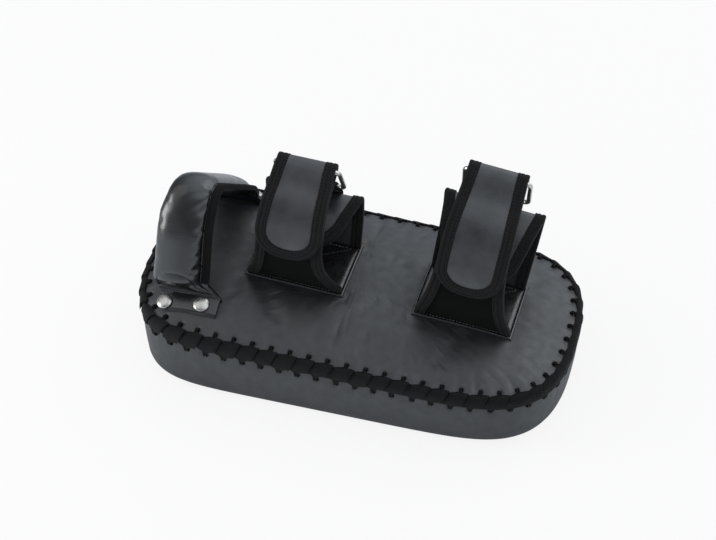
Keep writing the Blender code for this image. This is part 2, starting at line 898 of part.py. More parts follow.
def build_handle(leather, foam):
    handle = Handle()
    seam = HANDLE_SEAM_GAP
    skin = HANDLE_LEATHER
    cover_rings = []
    lining_rings = []
    core_rings = []
    for s in handle.stations():
        half = handle.half_width(s)
        flange = handle.flange(s)
        crown = handle.crown(s)
        grip = handle.grip(s)
        trim = handle.trim(s)

        def placed(ring):
            moved = [(max(p, trim - half + (skin if p > -half else 0)), q) for p, q in ring]
            return [handle.point(s, p, q) for p, q in moved]

        body = half - flange * (handle.on_tab(s) == 1.0)
        edge = body + flange
        outer = [(p, seam + skin + q) for p, q in bowed(body, crown, 6)]
        inner = [(p, seam + q) for p, q in bowed(body - skin, crown, 6)]
        ring = [*outer, (edge, seam + skin), (edge, seam), *reversed(inner)]
        cover_rings.append(placed(ring))
        below = [(p, -seam - skin - q) for p, q in bowed(body, grip, 5, 1.0)]
        above = [(p, -seam - q) for p, q in bowed(body - skin, grip, 5, 1.0)]
        ring = [*below, (edge, -seam - skin), (edge, -seam), *reversed(above)]
        lining_rings.append(placed(ring))
        if grip > 2 * skin and crown > 2 * skin:
            top = bowed(body - skin - 3 * GAP, crown - 2 * GAP, 6)
            bottom = bowed(body - skin - 3 * GAP, grip - 2 * GAP, 6, 1.0)[1:-1]
            ring = top + [(p, -q) for p, q in reversed(bottom)]
            core_rings.append([handle.point(s, p, q) for p, q in ring])
    cover = loft("handle_cover", cover_rings, leather)
    lining = loft("handle_lining", lining_rings, leather)
    loft("handle_core", core_rings, foam)
    return cover, lining


# Rivets


def lathe(name, profile, material, sides=ROUND_SIDES, closed=False):
    """Turns (radius, height) points about Z; a closed profile makes a ring."""
    rings = []
    for side in range(sides):
        angle = 2 * math.pi * side / sides
        rings.append(
            [(r * math.cos(angle), r * math.sin(angle), h) for r, h in profile]
        )
    if closed:
        return loft(name, rings, material, closed=True)
    points = [(0.0, 0.0, profile[0][1]), (0.0, 0.0, profile[-1][1])]
    points += [point for ring in rings for point in ring]
    size = len(profile)
    faces = []
    for side in range(sides):
        here = 2 + side * size
        after = 2 + (side + 1) % sides * size
        faces.append((0, here, after))
        faces.append((1, after + size - 1, here + size - 1))
        for k in range(size - 1):
            faces.append((here + k, here + k + 1, after + k + 1, after + k))
    return add_solid(name, points, faces, material)


def rivet_profile():
    seat = 2 * (GAP + HANDLE_LEATHER) + GAP
    head = RIVET_HEAD / 2
    shank = RIVET_SHANK / 2
    tail_top = -BACK_LEATHER - BURR_DROP - BURR_THICKNESS - GAP
    dome = [
        (head * math.sin(a), seat + RIVET_DOME * (0.25 + 0.75 * math.cos(a)))
        for a in (math.radians(30), math.radians(62), math.pi / 2)
    ]
    return [
        *dome,
        (head, seat),
        (shank, seat),
        (shank, tail_top),
        (RIVET_TAIL / 2, tail_top),
        (RIVET_TAIL / 2, tail_top - RIVET_TAIL_THICKNESS),
    ]


def burr_profile():
    bore = RIVET_SHANK / 2 + GAP
    rim = BURR_DIAMETER / 2
    top = -BACK_LEATHER - BURR_DROP
    return [
        (bore, top),
        (rim, top),
        (rim, top - BURR_THICKNESS),
        (bore, top - BURR_THICKNESS),
    ]


def rod(name, radius, low, high, material):
    return lathe(name, [(radius, high), (radius, low)], material, sides=ROUND_SIDES)


def build_rivets(metal, cutter_material, holed, pocketed):
    outer = (TAB_MIDDLE - OUTER_RIVET_OFFSET, TAB_EDGE - OUTER_RIVET_INSET)
    inner = (TAB_MIDDLE + INNER_RIVET_OFFSET, TAB_EDGE - INNER_RIVET_INSET)
    holes = []
    pockets = []
    for row, side in (("near", -1), ("far", 1)):
        for place, (x, row_y) in (("outer", outer), ("inner", inner)):
            y = side * row_y
            seat = Vector((x, y, back_z(x, y)))
            turn = back_normal(x, y).to_track_quat("Z", "Y")
            stem = f"{row}_{place}"
            bore = RIVET_SHANK / 2 + GAP
            reach = 4 * (HANDLE_LEATHER + BACK_LEATHER)
            hole = rod(f"{stem}_hole", bore, -reach, reach, cutter_material)
            pocket = rod(
                f"{stem}_pocket",
                POCKET_DIAMETER / 2,
                -BACK_LEATHER - POCKET_DEPTH,
                POCKET_DEPTH,
                cutter_material,
            )
            rivet = lathe(f"{stem}_rivet", rivet_profile(), metal)
            burr = lathe(f"{stem}_burr", burr_profile(), metal, closed=True)
            for obj in (hole, pocket, rivet, burr):
                obj.location = seat
                obj.rotation_mode = "QUATERNION"
                obj.rotation_quaternion = turn
            holes.append(hole)
            pockets.append(pocket)
    for obj in holed:
        cut(obj, holes)
    cut(pocketed, pockets)


# Straps


def tip_stations(length, tip):
    """Lengths that follow a round end closely."""
    return [length - tip + tip * math.sin(math.radians(a)) for a in (24, 46, 64, 80)]


def to_tip(profile, tip):
    """Stations along a whole strip with a round end."""
    start = profile.length - tip
    marks = profile.stations(0.0, start, 20 * MM)
    marks += tip_stations(profile.length, tip)
    for s in profile.stops:
        if start < s and min(abs(s - mark) for mark in marks) > MM:
            marks.append(s)
    return sorted(mark for mark in marks if mark < profile.length - 0.1 * MM)


def tip_width(s, length, tip, power=2.2):
    """Share of the full width left at this length, on a strip with a round end."""
    into = min(max((s - (length - tip)) / tip, 0.0), 0.99)
    return (1 - into**power) ** (1 / power)


def panel(name, profile, stations, half_width, low, high, material, parent, seat=None):
    """A strip of even thickness, from low to high beside its profile."""
    columns = (-1.0, 0.0, 0.5, 1.0) if seat else (-1.0, 1.0)
    rings = []
    for s in stations:
        half = half_width(s)
        ring = [profile.place(s, x * half, low) for x in columns]
        ring += [profile.place(s, x * half, high) for x in reversed(columns)]
        rings.append([seat(*p) for p in ring] if s == 0.0 and seat else ring)
    return loft(name, rings, material, parent)


def binding(name, profile, edge, thickness, material, parent, seat=None):
    """Webbing folded over a strip's edge, which lists (length, x), outside on its right."""
    slot = thickness / 2 + BINDING_SLACK
    face = slot + BINDING
    lip = GAP + BINDING
    section = (
        (-BINDING_WIDTH, face),
        (lip, face),
        (lip, -face),
        (-BINDING_WIDTH, -face),
        (-BINDING_WIDTH, -slot),
        (GAP, -slot),
        (GAP, slot),
        (-BINDING_WIDTH, slot),
    )
    edge = np.array(edge)
    headings = np.diff(edge, axis=0)
    headings /= np.linalg.norm(headings, axis=1)[:, None]
    means = np.vstack([headings[:1], headings[:-1] + headings[1:], headings[-1:]])
    means /= np.linalg.norm(means, axis=1)[:, None]
    rings = []
    for k, ((s, x), (run, sideways)) in enumerate(zip(edge, means)):
        square = k in (0, len(edge) - 1) or abs(sideways) < 0.5
        ring = []
        for out, high in section:
            along = s if square else s - sideways * out
            across = x + math.copysign(1, x) * out if square else x + run * out
            ring.append(profile.place(along, across, high))
        rings.append([seat(*p) for p in ring] if s == 0.0 and seat else ring)
    return loft(name, rings, material, parent)


def strip_edge(stations, half_width):
    """Up the right side of a strip, round its end and down its left side."""
    right = [(s, half_width(s)) for s in stations]
    left = [(s, -half_width(s)) for s in reversed(stations)]
    return right + left


def tangent_angle(first, first_radius, second, second_radius):
    """Direction from two circles' middles to the line that touches both on one side."""
    way = np.array(second) - np.array(first)
    turn = math.acos((first_radius - second_radius) / np.linalg.norm(way))
    return math.atan2(way[1], way[0]) - turn


class Strap:
    """One forearm strap: its frame, side profiles and widths."""

    def __init__(self, name, shape):
        self.name = name
        self.shape = shape
        top = back_z(shape.x, 0.0) + GAP + PATCH_LEATHER
        self.frame = add_empty(f"{name}_strap_frame", (shape.x, 0.0, top), None, shape.lean)
        turn = Matrix.Rotation(shape.lean, 4, "Y")
        self.matrix = Matrix.Translation((shape.x, 0.0, top)) @ turn
        self.inverse = self.matrix.inverted()
        self.fold_radius = WIRE / 2 + GAP + RING_PLAY + WING_PANEL / 2
        near = self.near_points()
        self.near = Profile(near, 1, [self.sway(z) for _, z in near])
        self.fold_start = self.near.length - self.fold_length
        far = self.far_points()
        self.horizon = self.far_horizon(Profile(far))
        self.far = Profile(far, -1, self.far_sideways(Profile(far)))

    def seat(self, x, y, z):
        """Drops a point of a wing's foot to just above the base patch."""
        world = self.matrix @ Vector((x, y, z))
        world.z = back_z(world.x, world.y) + 2.8 * GAP + PATCH_LEATHER
        return tuple(self.inverse @ world)

    def sway(self, z):
        """The closed strap bows a little to one side, halfway up."""
        share = min(max(z / self.shape.bar[1], 0.0), 1.0)
        return -self.shape.sway * math.sin(math.pi * share)

    def near_points(self):
        """Foot, bulge and rise, then round the ring's upper bar from underneath."""
        last = np.array(self.shape.near[-1])
        bar = np.array(self.shape.bar)
        gap = bar - last
        reach = np.linalg.norm(gap)
        heading = math.atan2(gap[1], gap[0]) - math.asin(self.fold_radius / reach)
        run = math.sqrt(reach**2 - self.fold_radius**2)
        touch = last + run * np.array([math.cos(heading), math.sin(heading)])
        corners = [(WING_FOOT_NEAR, 0.0), *self.shape.near, tuple(touch)]
        rise = rounded(corners, [60 * MM, 70 * MM, 50 * MM])
        fold = arc(bar, self.fold_radius, heading - math.pi / 2, math.pi, 8)
        back = (math.cos(heading), math.sin(heading))
        tail = [(fold[-1][0] - back[0] * MM, fold[-1][1] - back[1] * MM)]
        self.fold_length = self.fold_radius * math.pi + MM
        return np.vstack([rise, fold[1:], tail])

    def far_points(self):
        corners = [(WING_FOOT_FAR, 0.0), *self.shape.far, *self.shape.flap]
        self.bend = fillet(*corners[1:4], HORIZON_RADIUS)
        return rounded(corners, [80 * MM, HORIZON_RADIUS, 40 * MM])

    def far_horizon(self, profile):
        """Length along the far wing at its highest bend."""
        stops = np.linspace(0, profile.length, 200)
        return float(max(stops, key=lambda s: profile.at(s)[1]))

    def far_sideways(self, profile):
        share = profile.stops / self.horizon
        rest = (profile.length - profile.stops) / (profile.length - self.horizon)
        return self.shape.horizon[1] * np.minimum(share, rest)

    def near_width(self, s):
        """Wide at the patch, drawn in along a hollow curve, then narrower at the fold."""
        share = min(max(s - 3 * MM, 0.0) / (self.shape.shoulder * 1.6), 1.0)
        slim = self.strap_width(self.near.length - s)
        return slim + (WING_WIDTH / 2 - slim) * (1 - share) ** 2

    def strap_width(self, from_fold):
        share = min(max(from_fold - self.fold_length, 0.0) / (60 * MM), 1.0)
        return (FOLD_WIDTH + (STRAP_WIDTH - FOLD_WIDTH) * share) / 2

    def far_width(self, s):
        foot, flap = WING_WIDTH / 2, self.shape.flap_width / 2
        horizon = self.shape.horizon[0] / 2
        if s <= self.horizon:
            return foot + (horizon - foot) * s / self.horizon
        share = (s - self.horizon) / (self.far.length - self.horizon)
        return (horizon + (flap - horizon) * share) * tip_width(s, self.far.length, FLAP_TIP)


def build_patch(strap, material):
    """A leather patch that follows the crown of the back."""
    columns, rows = 6, 6
    x0 = strap.shape.x - PATCH_LENGTH / 2
    points = []
    for lift in (GAP, GAP + PATCH_LEATHER):
        for row in range(rows + 1):
            y = PATCH_NEAR + (PATCH_FAR - PATCH_NEAR) * row / rows
            for column in range(columns + 1):
                x = x0 + PATCH_LENGTH * column / columns
                points.append((x, y, back_z(x, y) + lift))
    across = columns + 1
    layer = across * (rows + 1)
    faces = []
    for row in range(rows):
        for column in range(columns):
            k = row * across + column
            for base in (0, layer):
                faces.append(
                    (base + k, base + k + 1, base + k + across + 1, base + k + across)
                )
    rim = list(range(across))
    rim += [row * across + columns for row in range(1, rows + 1)]
    rim += [rows * across + column for column in range(columns - 1, -1, -1)]
    rim += [row * across for row in range(rows - 1, 0, -1)]
    for k, corner in enumerate(rim):
        after = rim[(k + 1) % len(rim)]
        faces.append((corner, after, after + layer, corner + layer))
    return add_solid(f"{strap.name}_base_patch", points, faces, material)


def build_near_wing(strap, fabric, webbing, tape):
    half = WING_PANEL / 2
    near = strap.near
    name = strap.name
    panel(
        f"{name}_near_wing",
        near,
        near.stations(most=20 * MM),
        strap.near_width,
        -half,
        half,
        fabric,
        strap.frame,
        strap.seat,
    )
    sides = near.stations(end=strap.fold_start - 4 * MM, most=20 * MM)
    for side, sign in (("left", -1), ("right", 1)):
        edge = [(s, sign * strap.near_width(s)) for s in sides]
        if sign < 0:
            edge.reverse()
        binding(
            f"{name}_near_binding_{side}",
            near,
            edge,
            WING_PANEL,
            webbing,
            strap.frame,
            strap.seat,
        )
    low = half + GAP
    panel(
        f"{name}_loop_tape",
        near,
        near.stations(strap.shape.tip_at + 4 * MM, strap.fold_start - 14 * MM, 20 * MM),
        lambda s: TAPE_WIDTH / 2,
        low,
        low + TOUCH_TAPE,
        tape,
        strap.frame,
    )


def tongue_points(strap):
    """From the fold's end down the near wing's outside, to the tip."""
    bound = WING_PANEL / 2 + BINDING_SLACK + BINDING
    close = 2 * bound + 2 * GAP
    wide = 2 * strap.fold_radius
    near = strap.near
    back = near.points[-1] - near.points[-2]
    back /= np.linalg.norm(back)
    drawn_in = 30 * MM
    points = [near.points[-1] + back * 0.5 * MM, near.points[-1] + back * 2.5 * MM]
    sideways = [strap.sway(p[1]) for p in points]
    end = strap.fold_start
    for s in reversed(near.stations(strap.shape.tip_at, end - 6 * MM, 12 * MM)):
        share = min((end - s) / drawn_in, 1.0)
        ease = share * share * (3 - 2 * share)
        points.append(near.at(s, wide + (close - wide) * ease))
        sideways.append(float(np.interp(s, near.stops, near.sideways)))
    return np.array(points), sideways


def build_tongue(strap, leather, webbing, tape):
    """The strap's loose end: it peels off the near wing about its top edge."""
    half = WING_PANEL / 2
    points, sideways = tongue_points(strap)
    hinge = Profile(points).at(0.0, -half)
    pivot = add_empty(f"{strap.name}_tongue_hinge", (0.0, *hinge), strap.frame)
    path = Profile(points - hinge, 1, sideways)
    length = path.length
    stations = to_tip(path, TONGUE_TIP)

    def width(s):
        full = strap.strap_width(s + strap.fold_length)
        return full * tip_width(s, length, TONGUE_TIP)

    name = strap.name
    panel(f"{name}_tongue", path, stations, width, -half, half, leather, pivot)
    bound = [s for s in stations if s > 2 * MM]
    binding(
        f"{name}_tongue_binding",
        path,
        strip_edge(bound, width),
        WING_PANEL,
        webbing,
        pivot,
    )
    panel(
        f"{name}_hook_tape",
        path,
        path.stations(path.stops[-3], length - BINDING_WIDTH - 12 * MM, 20 * MM),
        lambda s: TAPE_WIDTH / 2,
        half + GAP,
        half + GAP + TOUCH_TAPE,
        tape,
        pivot,
    )


def build_far_wing(strap, leather, webbing):
    half = WING_PANEL / 2
    stations = to_tip(strap.far, FLAP_TIP)
    panel(
        f"{strap.name}_far_wing",
        strap.far,
        stations,
        strap.far_width,
        -half,
        half,
        leather,
        strap.frame,
        strap.seat,
    )
    binding(
        f"{strap.name}_far_binding",
        strap.far,
        strip_edge(stations, strap.far_width),
        WING_PANEL,
        webbing,
        strap.frame,
        strap.seat,
    )


def ring_ends(strap):
    """Middles of the ring's two bars: the upper in the fold, the lower in its keeper."""
    upper = np.array(strap.shape.bar)
    root = strap.far.at(strap.horizon, WING_PANEL / 2)
    heading = (root - upper) / np.linalg.norm(root - upper)
    return upper, upper + heading * RING_LENGTH


def build_ring(strap, metal):
    """A bent wire rectangle with round corners, hung at its lower bar."""
    upper, lower = ring_ends(strap)
    up = (upper - lower) / RING_LENGTH
    half = RING_INSIDE / 2 + WIRE / 2
    corner = RING_CORNER
    middles = [
        (half - corner, corner, -90),
        (half - corner, RING_LENGTH - corner, 0),
        (-half + corner, RING_LENGTH - corner, 90),
        (-half + corner, corner, 180),
    ]
    sides = 8
    rings = []
    for x, h, first in middles:
        for step in range(4):
            angle = math.radians(first + 30 * step)
            heading = np.array([math.cos(angle), math.sin(angle)])
            ring = []
            for side in range(sides):
                turn = 2 * math.pi * (side + 0.5) / sides
                proud = math.sin(turn) * WIRE / 2
                px, ph = (x, h) + heading * (corner + math.cos(turn) * WIRE / 2)
                y = up[0] * ph + up[1] * proud
                z = up[1] * ph - up[0] * proud
                ring.append((px, y, z))
            rings.append(ring)
    ring = loft(f"{strap.name}_ring", rings, metal, strap.frame, closed=True)
    ring.location = (0.0, *lower)
    return ring


def build_keeper(strap, webbing):
    """Webbing sewn outside the far wing, up round the ring's lower bar and back."""
    bar = ring_ends(strap)[1]
    tape = KEEPER_WEBBING
    around = WIRE / 2 + 2 * GAP + tape / 2
    middle, bend, first, _ = strap.bend
    inner = bend + WING_PANEL / 2 + 2 * GAP + tape / 2
    outer = inner + tape + GAP
    face = np.array([math.cos(first), math.sin(first)])
    down = np.array([face[1], -face[0]])
    crossing = tangent_angle(middle, inner, bar, -around)
    returning = tangent_angle(middle, outer, bar, around)
    path = [
        middle + face * inner + down * KEEPER_TAIL,
        *arc(middle, inner, first, crossing - first, 2),
        *arc(bar, around, crossing + math.pi, returning - crossing - math.pi, 8),
        *arc(middle, outer, returning, first - returning, 2),
        middle + face * outer + down * KEEPER_TAIL,
    ]
    profile = Profile(np.array(path))
    panel(
        f"{strap.name}_ring_keeper",
        profile,
        profile.stops,
        lambda s: KEEPER_WIDTH / 2,
        -tape / 2,
        tape / 2,
        webbing,
        strap.frame,
    )


def main():
    clear_scene()
    leather = make_material("pad_leather", (0.018, 0.019, 0.021), 0.45)
    gloss = make_material("handle_leather", (0.010, 0.010, 0.011), 0.28)
    patch = make_material("patch_leather", (0.014, 0.014, 0.015), 0.40)
    face = make_material("strap_leather", (0.045, 0.046, 0.052), 0.50)
    webbing = make_material("binding_webbing", (0.008, 0.008, 0.008), 0.85)
    lace = make_material("lace", (0.006, 0.006, 0.006), 0.85)
    loop = make_material("loop_fabric", (0.007, 0.007, 0.007), 0.95)
    hook = make_material("hook_tape", (0.012, 0.012, 0.012), 0.70)
    foam = make_material("foam", (0.30, 0.30, 0.31), 0.90)
    board = make_material("board", (0.36, 0.27, 0.17), 0.80)
    nickel = make_material("nickel", (0.72, 0.71, 0.68), 0.22, 1.0)
    guide = make_material("guide", (0.8, 0.1, 0.1), 0.5)

    build_front_cover(leather)
    back_cover = build_back_cover(leather)
    back_foam = build_filling(foam, board)
    build_welt(webbing)
    build_lacing(lace)
    cover, lining = build_handle(gloss, foam)
    build_rivets(nickel, guide, (back_cover, cover, lining), back_foam)
    for name, shape in STRAPS.items():
        strap = Strap(name, shape)
        build_patch(strap, patch)
        build_near_wing(strap, loop, webbing, loop)
        build_tongue(strap, face, webbing, hook)
        build_far_wing(strap, face, webbing)
        build_ring(strap, nickel)
        build_keeper(strap, webbing)


main()
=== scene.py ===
"""The looks of the kick pad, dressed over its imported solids. Sizes are in metres."""

import math
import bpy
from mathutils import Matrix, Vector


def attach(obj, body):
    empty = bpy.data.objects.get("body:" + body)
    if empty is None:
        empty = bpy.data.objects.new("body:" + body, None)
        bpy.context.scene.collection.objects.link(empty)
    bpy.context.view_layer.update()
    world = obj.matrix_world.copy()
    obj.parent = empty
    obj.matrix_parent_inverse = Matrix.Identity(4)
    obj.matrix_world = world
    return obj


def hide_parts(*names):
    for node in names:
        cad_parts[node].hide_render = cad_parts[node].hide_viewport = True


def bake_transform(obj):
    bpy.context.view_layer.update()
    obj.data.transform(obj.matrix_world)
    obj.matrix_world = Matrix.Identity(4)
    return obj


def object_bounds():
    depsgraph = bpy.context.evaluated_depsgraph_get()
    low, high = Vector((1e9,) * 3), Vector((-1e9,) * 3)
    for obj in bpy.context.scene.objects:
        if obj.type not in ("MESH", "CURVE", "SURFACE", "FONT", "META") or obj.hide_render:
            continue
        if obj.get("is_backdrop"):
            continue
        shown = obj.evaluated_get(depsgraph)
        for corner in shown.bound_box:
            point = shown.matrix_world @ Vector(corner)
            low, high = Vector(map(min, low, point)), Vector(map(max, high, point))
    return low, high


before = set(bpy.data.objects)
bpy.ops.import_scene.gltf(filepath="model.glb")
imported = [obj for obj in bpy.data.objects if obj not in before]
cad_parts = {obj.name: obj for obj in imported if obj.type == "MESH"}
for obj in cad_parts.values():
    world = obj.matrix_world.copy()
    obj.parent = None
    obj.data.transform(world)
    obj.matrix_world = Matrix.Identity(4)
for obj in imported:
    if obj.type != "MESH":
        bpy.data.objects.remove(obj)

from types import SimpleNamespace

import bmesh
import bpy
import numpy as np
from mathutils import Vector, noise

MM = 0.001
GAP = 0.3 * MM
CAD_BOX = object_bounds()

# Camera, at the photograph's place and angle
CAMERA_AT = (0.3934, -1.4150, 1.4370)
CAMERA_AIM = (-0.0042, 0.0002, 0.09)
CAMERA_LENS = 110.6
CAMERA_SENSOR = 36
CAMERA_NEAR = 0.05

WHITE = (1, 1, 1, 1)

# The room that shiny things show, by direction along an axis: bright behind, above and at the right
ROOM_AXIS = (0.60, 0.45, 0.66)
ROOM_TINT = (0.86, 0.93, 1.0)
ROOM_LEVELS = (
    (0.0, 0.45),
    (0.28, 0.42),
    (0.42, 0.22),
    (0.54, 0.24),
    (0.68, 0.42),
    (0.78, 0.92),
    (0.88, 1.1),
)
AMBIENT = (0.70, 0.71, 0.73)

# How white shiny things show the floor's glow: a painted pool of light, by distance from a painted dim
# place in front of the part
DIM_PLACE = (0.35, -1.0, 0)
FLOOR_LEVELS = ((0.35, 0.35), (0.95, 1.0), (1.20, 0.90), (1.60, 0.45))
FLOOR_SPAN = 2.0
# Reach of the painted contact shadow that darkens the floor's glow where things touch it
CONTACT = 0.05

# The floor: half its length, its colour, and how much of what is seen of it is its own light
FLOOR_REACH = 6.0
FLOOR_COLOUR = (0.86, 0.86, 0.86, 1)
FLOOR_GLOW = 0.86

# Softboxes: name, place, what it is aimed at, size and power
LAMPS = (
    ("top", (0.85, 0.95, 1.40), (0.05, 0, 0.1), (1.5, 1.1), 4.5),
    ("left", (-1.20, -0.45, 0.30), (-0.15, -0.05, 0.12), (0.5, 0.9), 7),
    ("key", (-1.10, -0.30, 1.45), (0, 0, 0.1), (1.3, 1.1), 2.5),
)

# Pad body, as in the solids
PAD_LENGTH = 390 * MM
PAD_WIDTH = 205 * MM
SEAM_HEIGHT = 64.9 * MM
SEAM_DROP = 15.4 * MM
HANDLE_END_SQUARENESS = (7.9, 2.5)
ELBOW_END_SQUARENESS = (5.87, 2.57)
CROWN_HEIGHT = 19.9 * MM
CROWN_LOSS = 11.3 * MM
WALL_BULGE = 3.5 * MM
FLOOR_FILLET = 15 * MM
FRONT_LEATHER = 2.0 * MM
BACK_LEATHER = 1.8 * MM

# Edge lacing
LACE_PITCH = 17.2 * MM
LACE_START = 13 * MM
LACE_SLANT = 0.5
LACE_THICKNESS = 1.4 * MM
LACE_WIDTH = 17.3 * MM  # spread flat, so that each wrap tucks under the next
LACE_NECK = 2.6 * MM
LACE_TUCK = 0.07  # slope of a wrap over its neighbour
HOLE_HEIGHT = 2.8 * MM
UPPER_HOLE_INSET = 4.2 * MM
LOWER_HOLE_DROP = 16 * MM
LOWER_HOLE_RISE = 6 * MM
BAND_FOOT = 8.3 * MM
LACE_STANDOFF = 0.4 * MM
WELT_THICKNESS = 3 * MM
WELT_HEIGHT = 10 * MM
WELT_DROP = 4.2 * MM

# Handle
TAB_MIDDLE = -141 * MM
TAB_WIDTH = 57 * MM
TAB_EDGE = 85.5 * MM
TAB_BEND = 68 * MM
TAB_CORNER = 13 * MM
TAB_TRIM_LENGTH = 11.5 * MM
TAB_RIM = 1.5 * MM
HANDLE_SHIFTS = (13 * MM, 9.5 * MM, 4.5 * MM, 5 * MM)
HANDLE_WIDTHS = (43.5 * MM, 42 * MM, 34.5 * MM, 40 * MM)
HANDLE_FLANGE = 7 * MM
HANDLE_LEATHER = 1.5 * MM
HANDLE_SEAM_GAP = 0.2 * MM
HANDLE_TOP = (-28 * MM, 185.7 * MM)
HANDLE_NEAR_LEG = ((-61 * MM, 112 * MM), (-53 * MM, 158 * MM))
HANDLE_FAR_LEG = (60 * MM, 112 * MM)
NEAR_CROWN = 15 * MM
TOP_CROWN = 6.5 * MM
GRIP_CROWN = 9 * MM
CROWN_RUN = 18 * MM
PUCKER_PITCH = 15 * MM
PUCKER_DEPTH = 1.9 * MM

# Rivets
RIVET_OUTER = (-161 * MM, 78.5 * MM)
RIVET_INNER = (-127.5 * MM, 77 * MM)
RIVET_HEAD = 14.5 * MM
RIVET_DOME = 3.2 * MM

# Straps
PATCH_LENGTH = 92 * MM
PATCH_NEAR = -35 * MM
PATCH_FAR = 37 * MM
PATCH_MIDDLE = 1 * MM
PATCH_LEATHER = 1.6 * MM
WING_FOOT_NEAR = -30.5 * MM
WING_FOOT_FAR = 33 * MM
WING_WIDTH = 86 * MM
BINDING_SLACK = 0.45 * MM
WING_PANEL = 3 * MM
BINDING = 0.9 * MM
BINDING_WIDTH = 9 * MM
STRAP_WIDTH = 58 * MM
FOLD_WIDTH = 51 * MM
TONGUE_TIP = 27 * MM
FLAP_TIP = 24 * MM
HORIZON_RADIUS = 5 * MM
TOUCH_TAPE = 0.85 * MM
TAPE_WIDTH = 32 * MM
WIRE = 4.2 * MM
RING_INSIDE = 54.5 * MM
RING_CORNER = 5.5 * MM
RING_PLAY = 1.9 * MM
RING_LENGTH = 43 * MM
KEEPER_WEBBING = 1.5 * MM
KEEPER_WIDTH = 45 * MM
KEEPER_TAIL = 16 * MM


def millimetres(*pairs):
    return [(a * MM, b * MM) for a, b in pairs]


# What differs between the two straps; profiles are (across, up) from the patch
STRAPS = {
    "hand": SimpleNamespace(
        x=-54.6 * MM,
        lean=math.radians(2.8),
        near=millimetres((-47, 30), (-50, 58), (-41, 93)),
        bar=(-5 * MM, 114 * MM),
        far=millimetres((39, 28), (37, 55)),
        flap=millimetres((12, 49), (-20, 33)),
        horizon=(89 * MM, -2.7 * MM),
        flap_width=54 * MM,
        tip_at=54 * MM,
        shoulder=38 * MM,
        sway=1.8 * MM,
    ),
    "elbow": SimpleNamespace(
        x=100.7 * MM,
        lean=math.radians(6.9),
        near=millimetres((-44, 35), (-45, 70), (-35, 110)),
        bar=(13 * MM, 138 * MM),
        far=millimetres((47, 38), (50, 79)),
        flap=millimetres((20, 66), (-16, 38)),
        horizon=(91 * MM, 0.0),
        flap_width=62 * MM,
        tip_at=56 * MM,
        shoulder=62 * MM,
        sway=0.5 * MM,
    ),
}

# Camera and light


def add_object(name, data, place=(0, 0, 0)):
    obj = bpy.data.objects.new(name, data)
    obj.location = place
    bpy.context.scene.collection.objects.link(obj)
    return obj


def aim(obj, target):
    way = Vector(target) - obj.location
    obj.rotation_euler = way.to_track_quat("-Z", "Y").to_euler()


def add_camera():
    data = bpy.data.cameras.new("camera")
    data.lens = CAMERA_LENS
    data.sensor_width = CAMERA_SENSOR
    data.clip_start = CAMERA_NEAR
    camera = add_object("camera", data, CAMERA_AT)
    aim(camera, CAMERA_AIM)
    bpy.context.scene.camera = camera


def add_lamp(name, place, target, size, power):
    data = bpy.data.lights.new(name, "AREA")
    data.shape = "RECTANGLE"
    data.size, data.size_y = size
    data.energy = power
    aim(add_object(name, data, place), target)


class Nodes:
    """Adds nodes to a tree; their inputs are plain values or the outputs of other nodes."""

    def __init__(self, tree):
        self.tree = tree

    def fill(self, node, inputs):
        for key, value in dict(inputs).items():
            if isinstance(value, bpy.types.NodeSocket):
                self.tree.links.new(value, node.inputs[key])
            else:
                node.inputs[key].default_value = value

    def add(self, kind, output, inputs=(), **settings):
        """The output of a new node."""
        node = self.tree.nodes.new(f"ShaderNode{kind}")
        for key, value in settings.items():
            setattr(node, key, value)
        self.fill(node, inputs)
        return node.outputs[output]

    def math(self, operation, *values):
        return self.add("Math", 0, enumerate(values), operation=operation)

    def mix(self, share, first, second, kind="RGBA"):
        inputs = {"Factor": share, "A": first, "B": second}
        return self.add("Mix", "Result", inputs, data_type=kind)

    def stops(self, source, stops):
        """Colours for a value of 0 to 1, from (place, colour) pairs."""
        made = self.add("ValToRGB", 0, {0: source})
        elements = made.node.color_ramp.elements
        while len(elements) < len(stops):
            elements.new(0.5)
        for element, (place, colour) in zip(elements, stops):
            element.position = place
            element.color = (*colour, 1)
        return made


def backdrop_rays(nodes):
    """1 for camera rays, and 1 for all that see a backdrop: glossy and transmission rays too."""
    camera, glossy, through = (
        nodes.add("LightPath", f"Is {kind} Ray") for kind in ("Camera", "Glossy", "Transmission")
    )
    return camera, nodes.math("MAXIMUM", nodes.math("MAXIMUM", camera, glossy), through)


def add_world():
    world = bpy.data.worlds.new("studio")
    world.use_nodes = True
    world.node_tree.nodes.clear()
    nodes = Nodes(world.node_tree)
    camera, seen = backdrop_rays(nodes)
    ways = {0: nodes.add("TexCoord", "Generated"), 1: ROOM_AXIS}
    towards = nodes.add("VectorMath", "Value", ways, operation="DOT_PRODUCT")
    levels = [(place, [level * c for c in ROOM_TINT]) for place, level in ROOM_LEVELS]
    walls = nodes.stops(nodes.math("MULTIPLY_ADD", towards, 0.5, 0.5), levels)
    colour = nodes.mix(seen, (*AMBIENT, 1), nodes.mix(camera, walls, WHITE))
    output = nodes.tree.nodes.new("ShaderNodeOutputWorld")
    nodes.fill(output, {"Surface": nodes.add("Background", 0, {"Color": colour})})
    bpy.context.scene.world = world


def floor_level(nodes):
    """How white the floor's glow looks in shiny things: a painted pool of light, dim in front, and a
    painted contact shadow, dark where things touch it.
    """
    ends = {0: nodes.add("TexCoord", "Object"), 1: DIM_PLACE}
    away = nodes.add("VectorMath", "Value", ends, operation="DISTANCE")
    levels = [(place / FLOOR_SPAN, [level] * 3) for place, level in FLOOR_LEVELS]
    fade = nodes.stops(nodes.math("DIVIDE", away, FLOOR_SPAN), levels)
    # Ambient occlusion, used as a painted contact shadow in the floor's glow
    painted_contact_shadow = nodes.add("AmbientOcclusion", "AO", {"Distance": CONTACT})
    return nodes.math("MULTIPLY", fade, painted_contact_shadow)


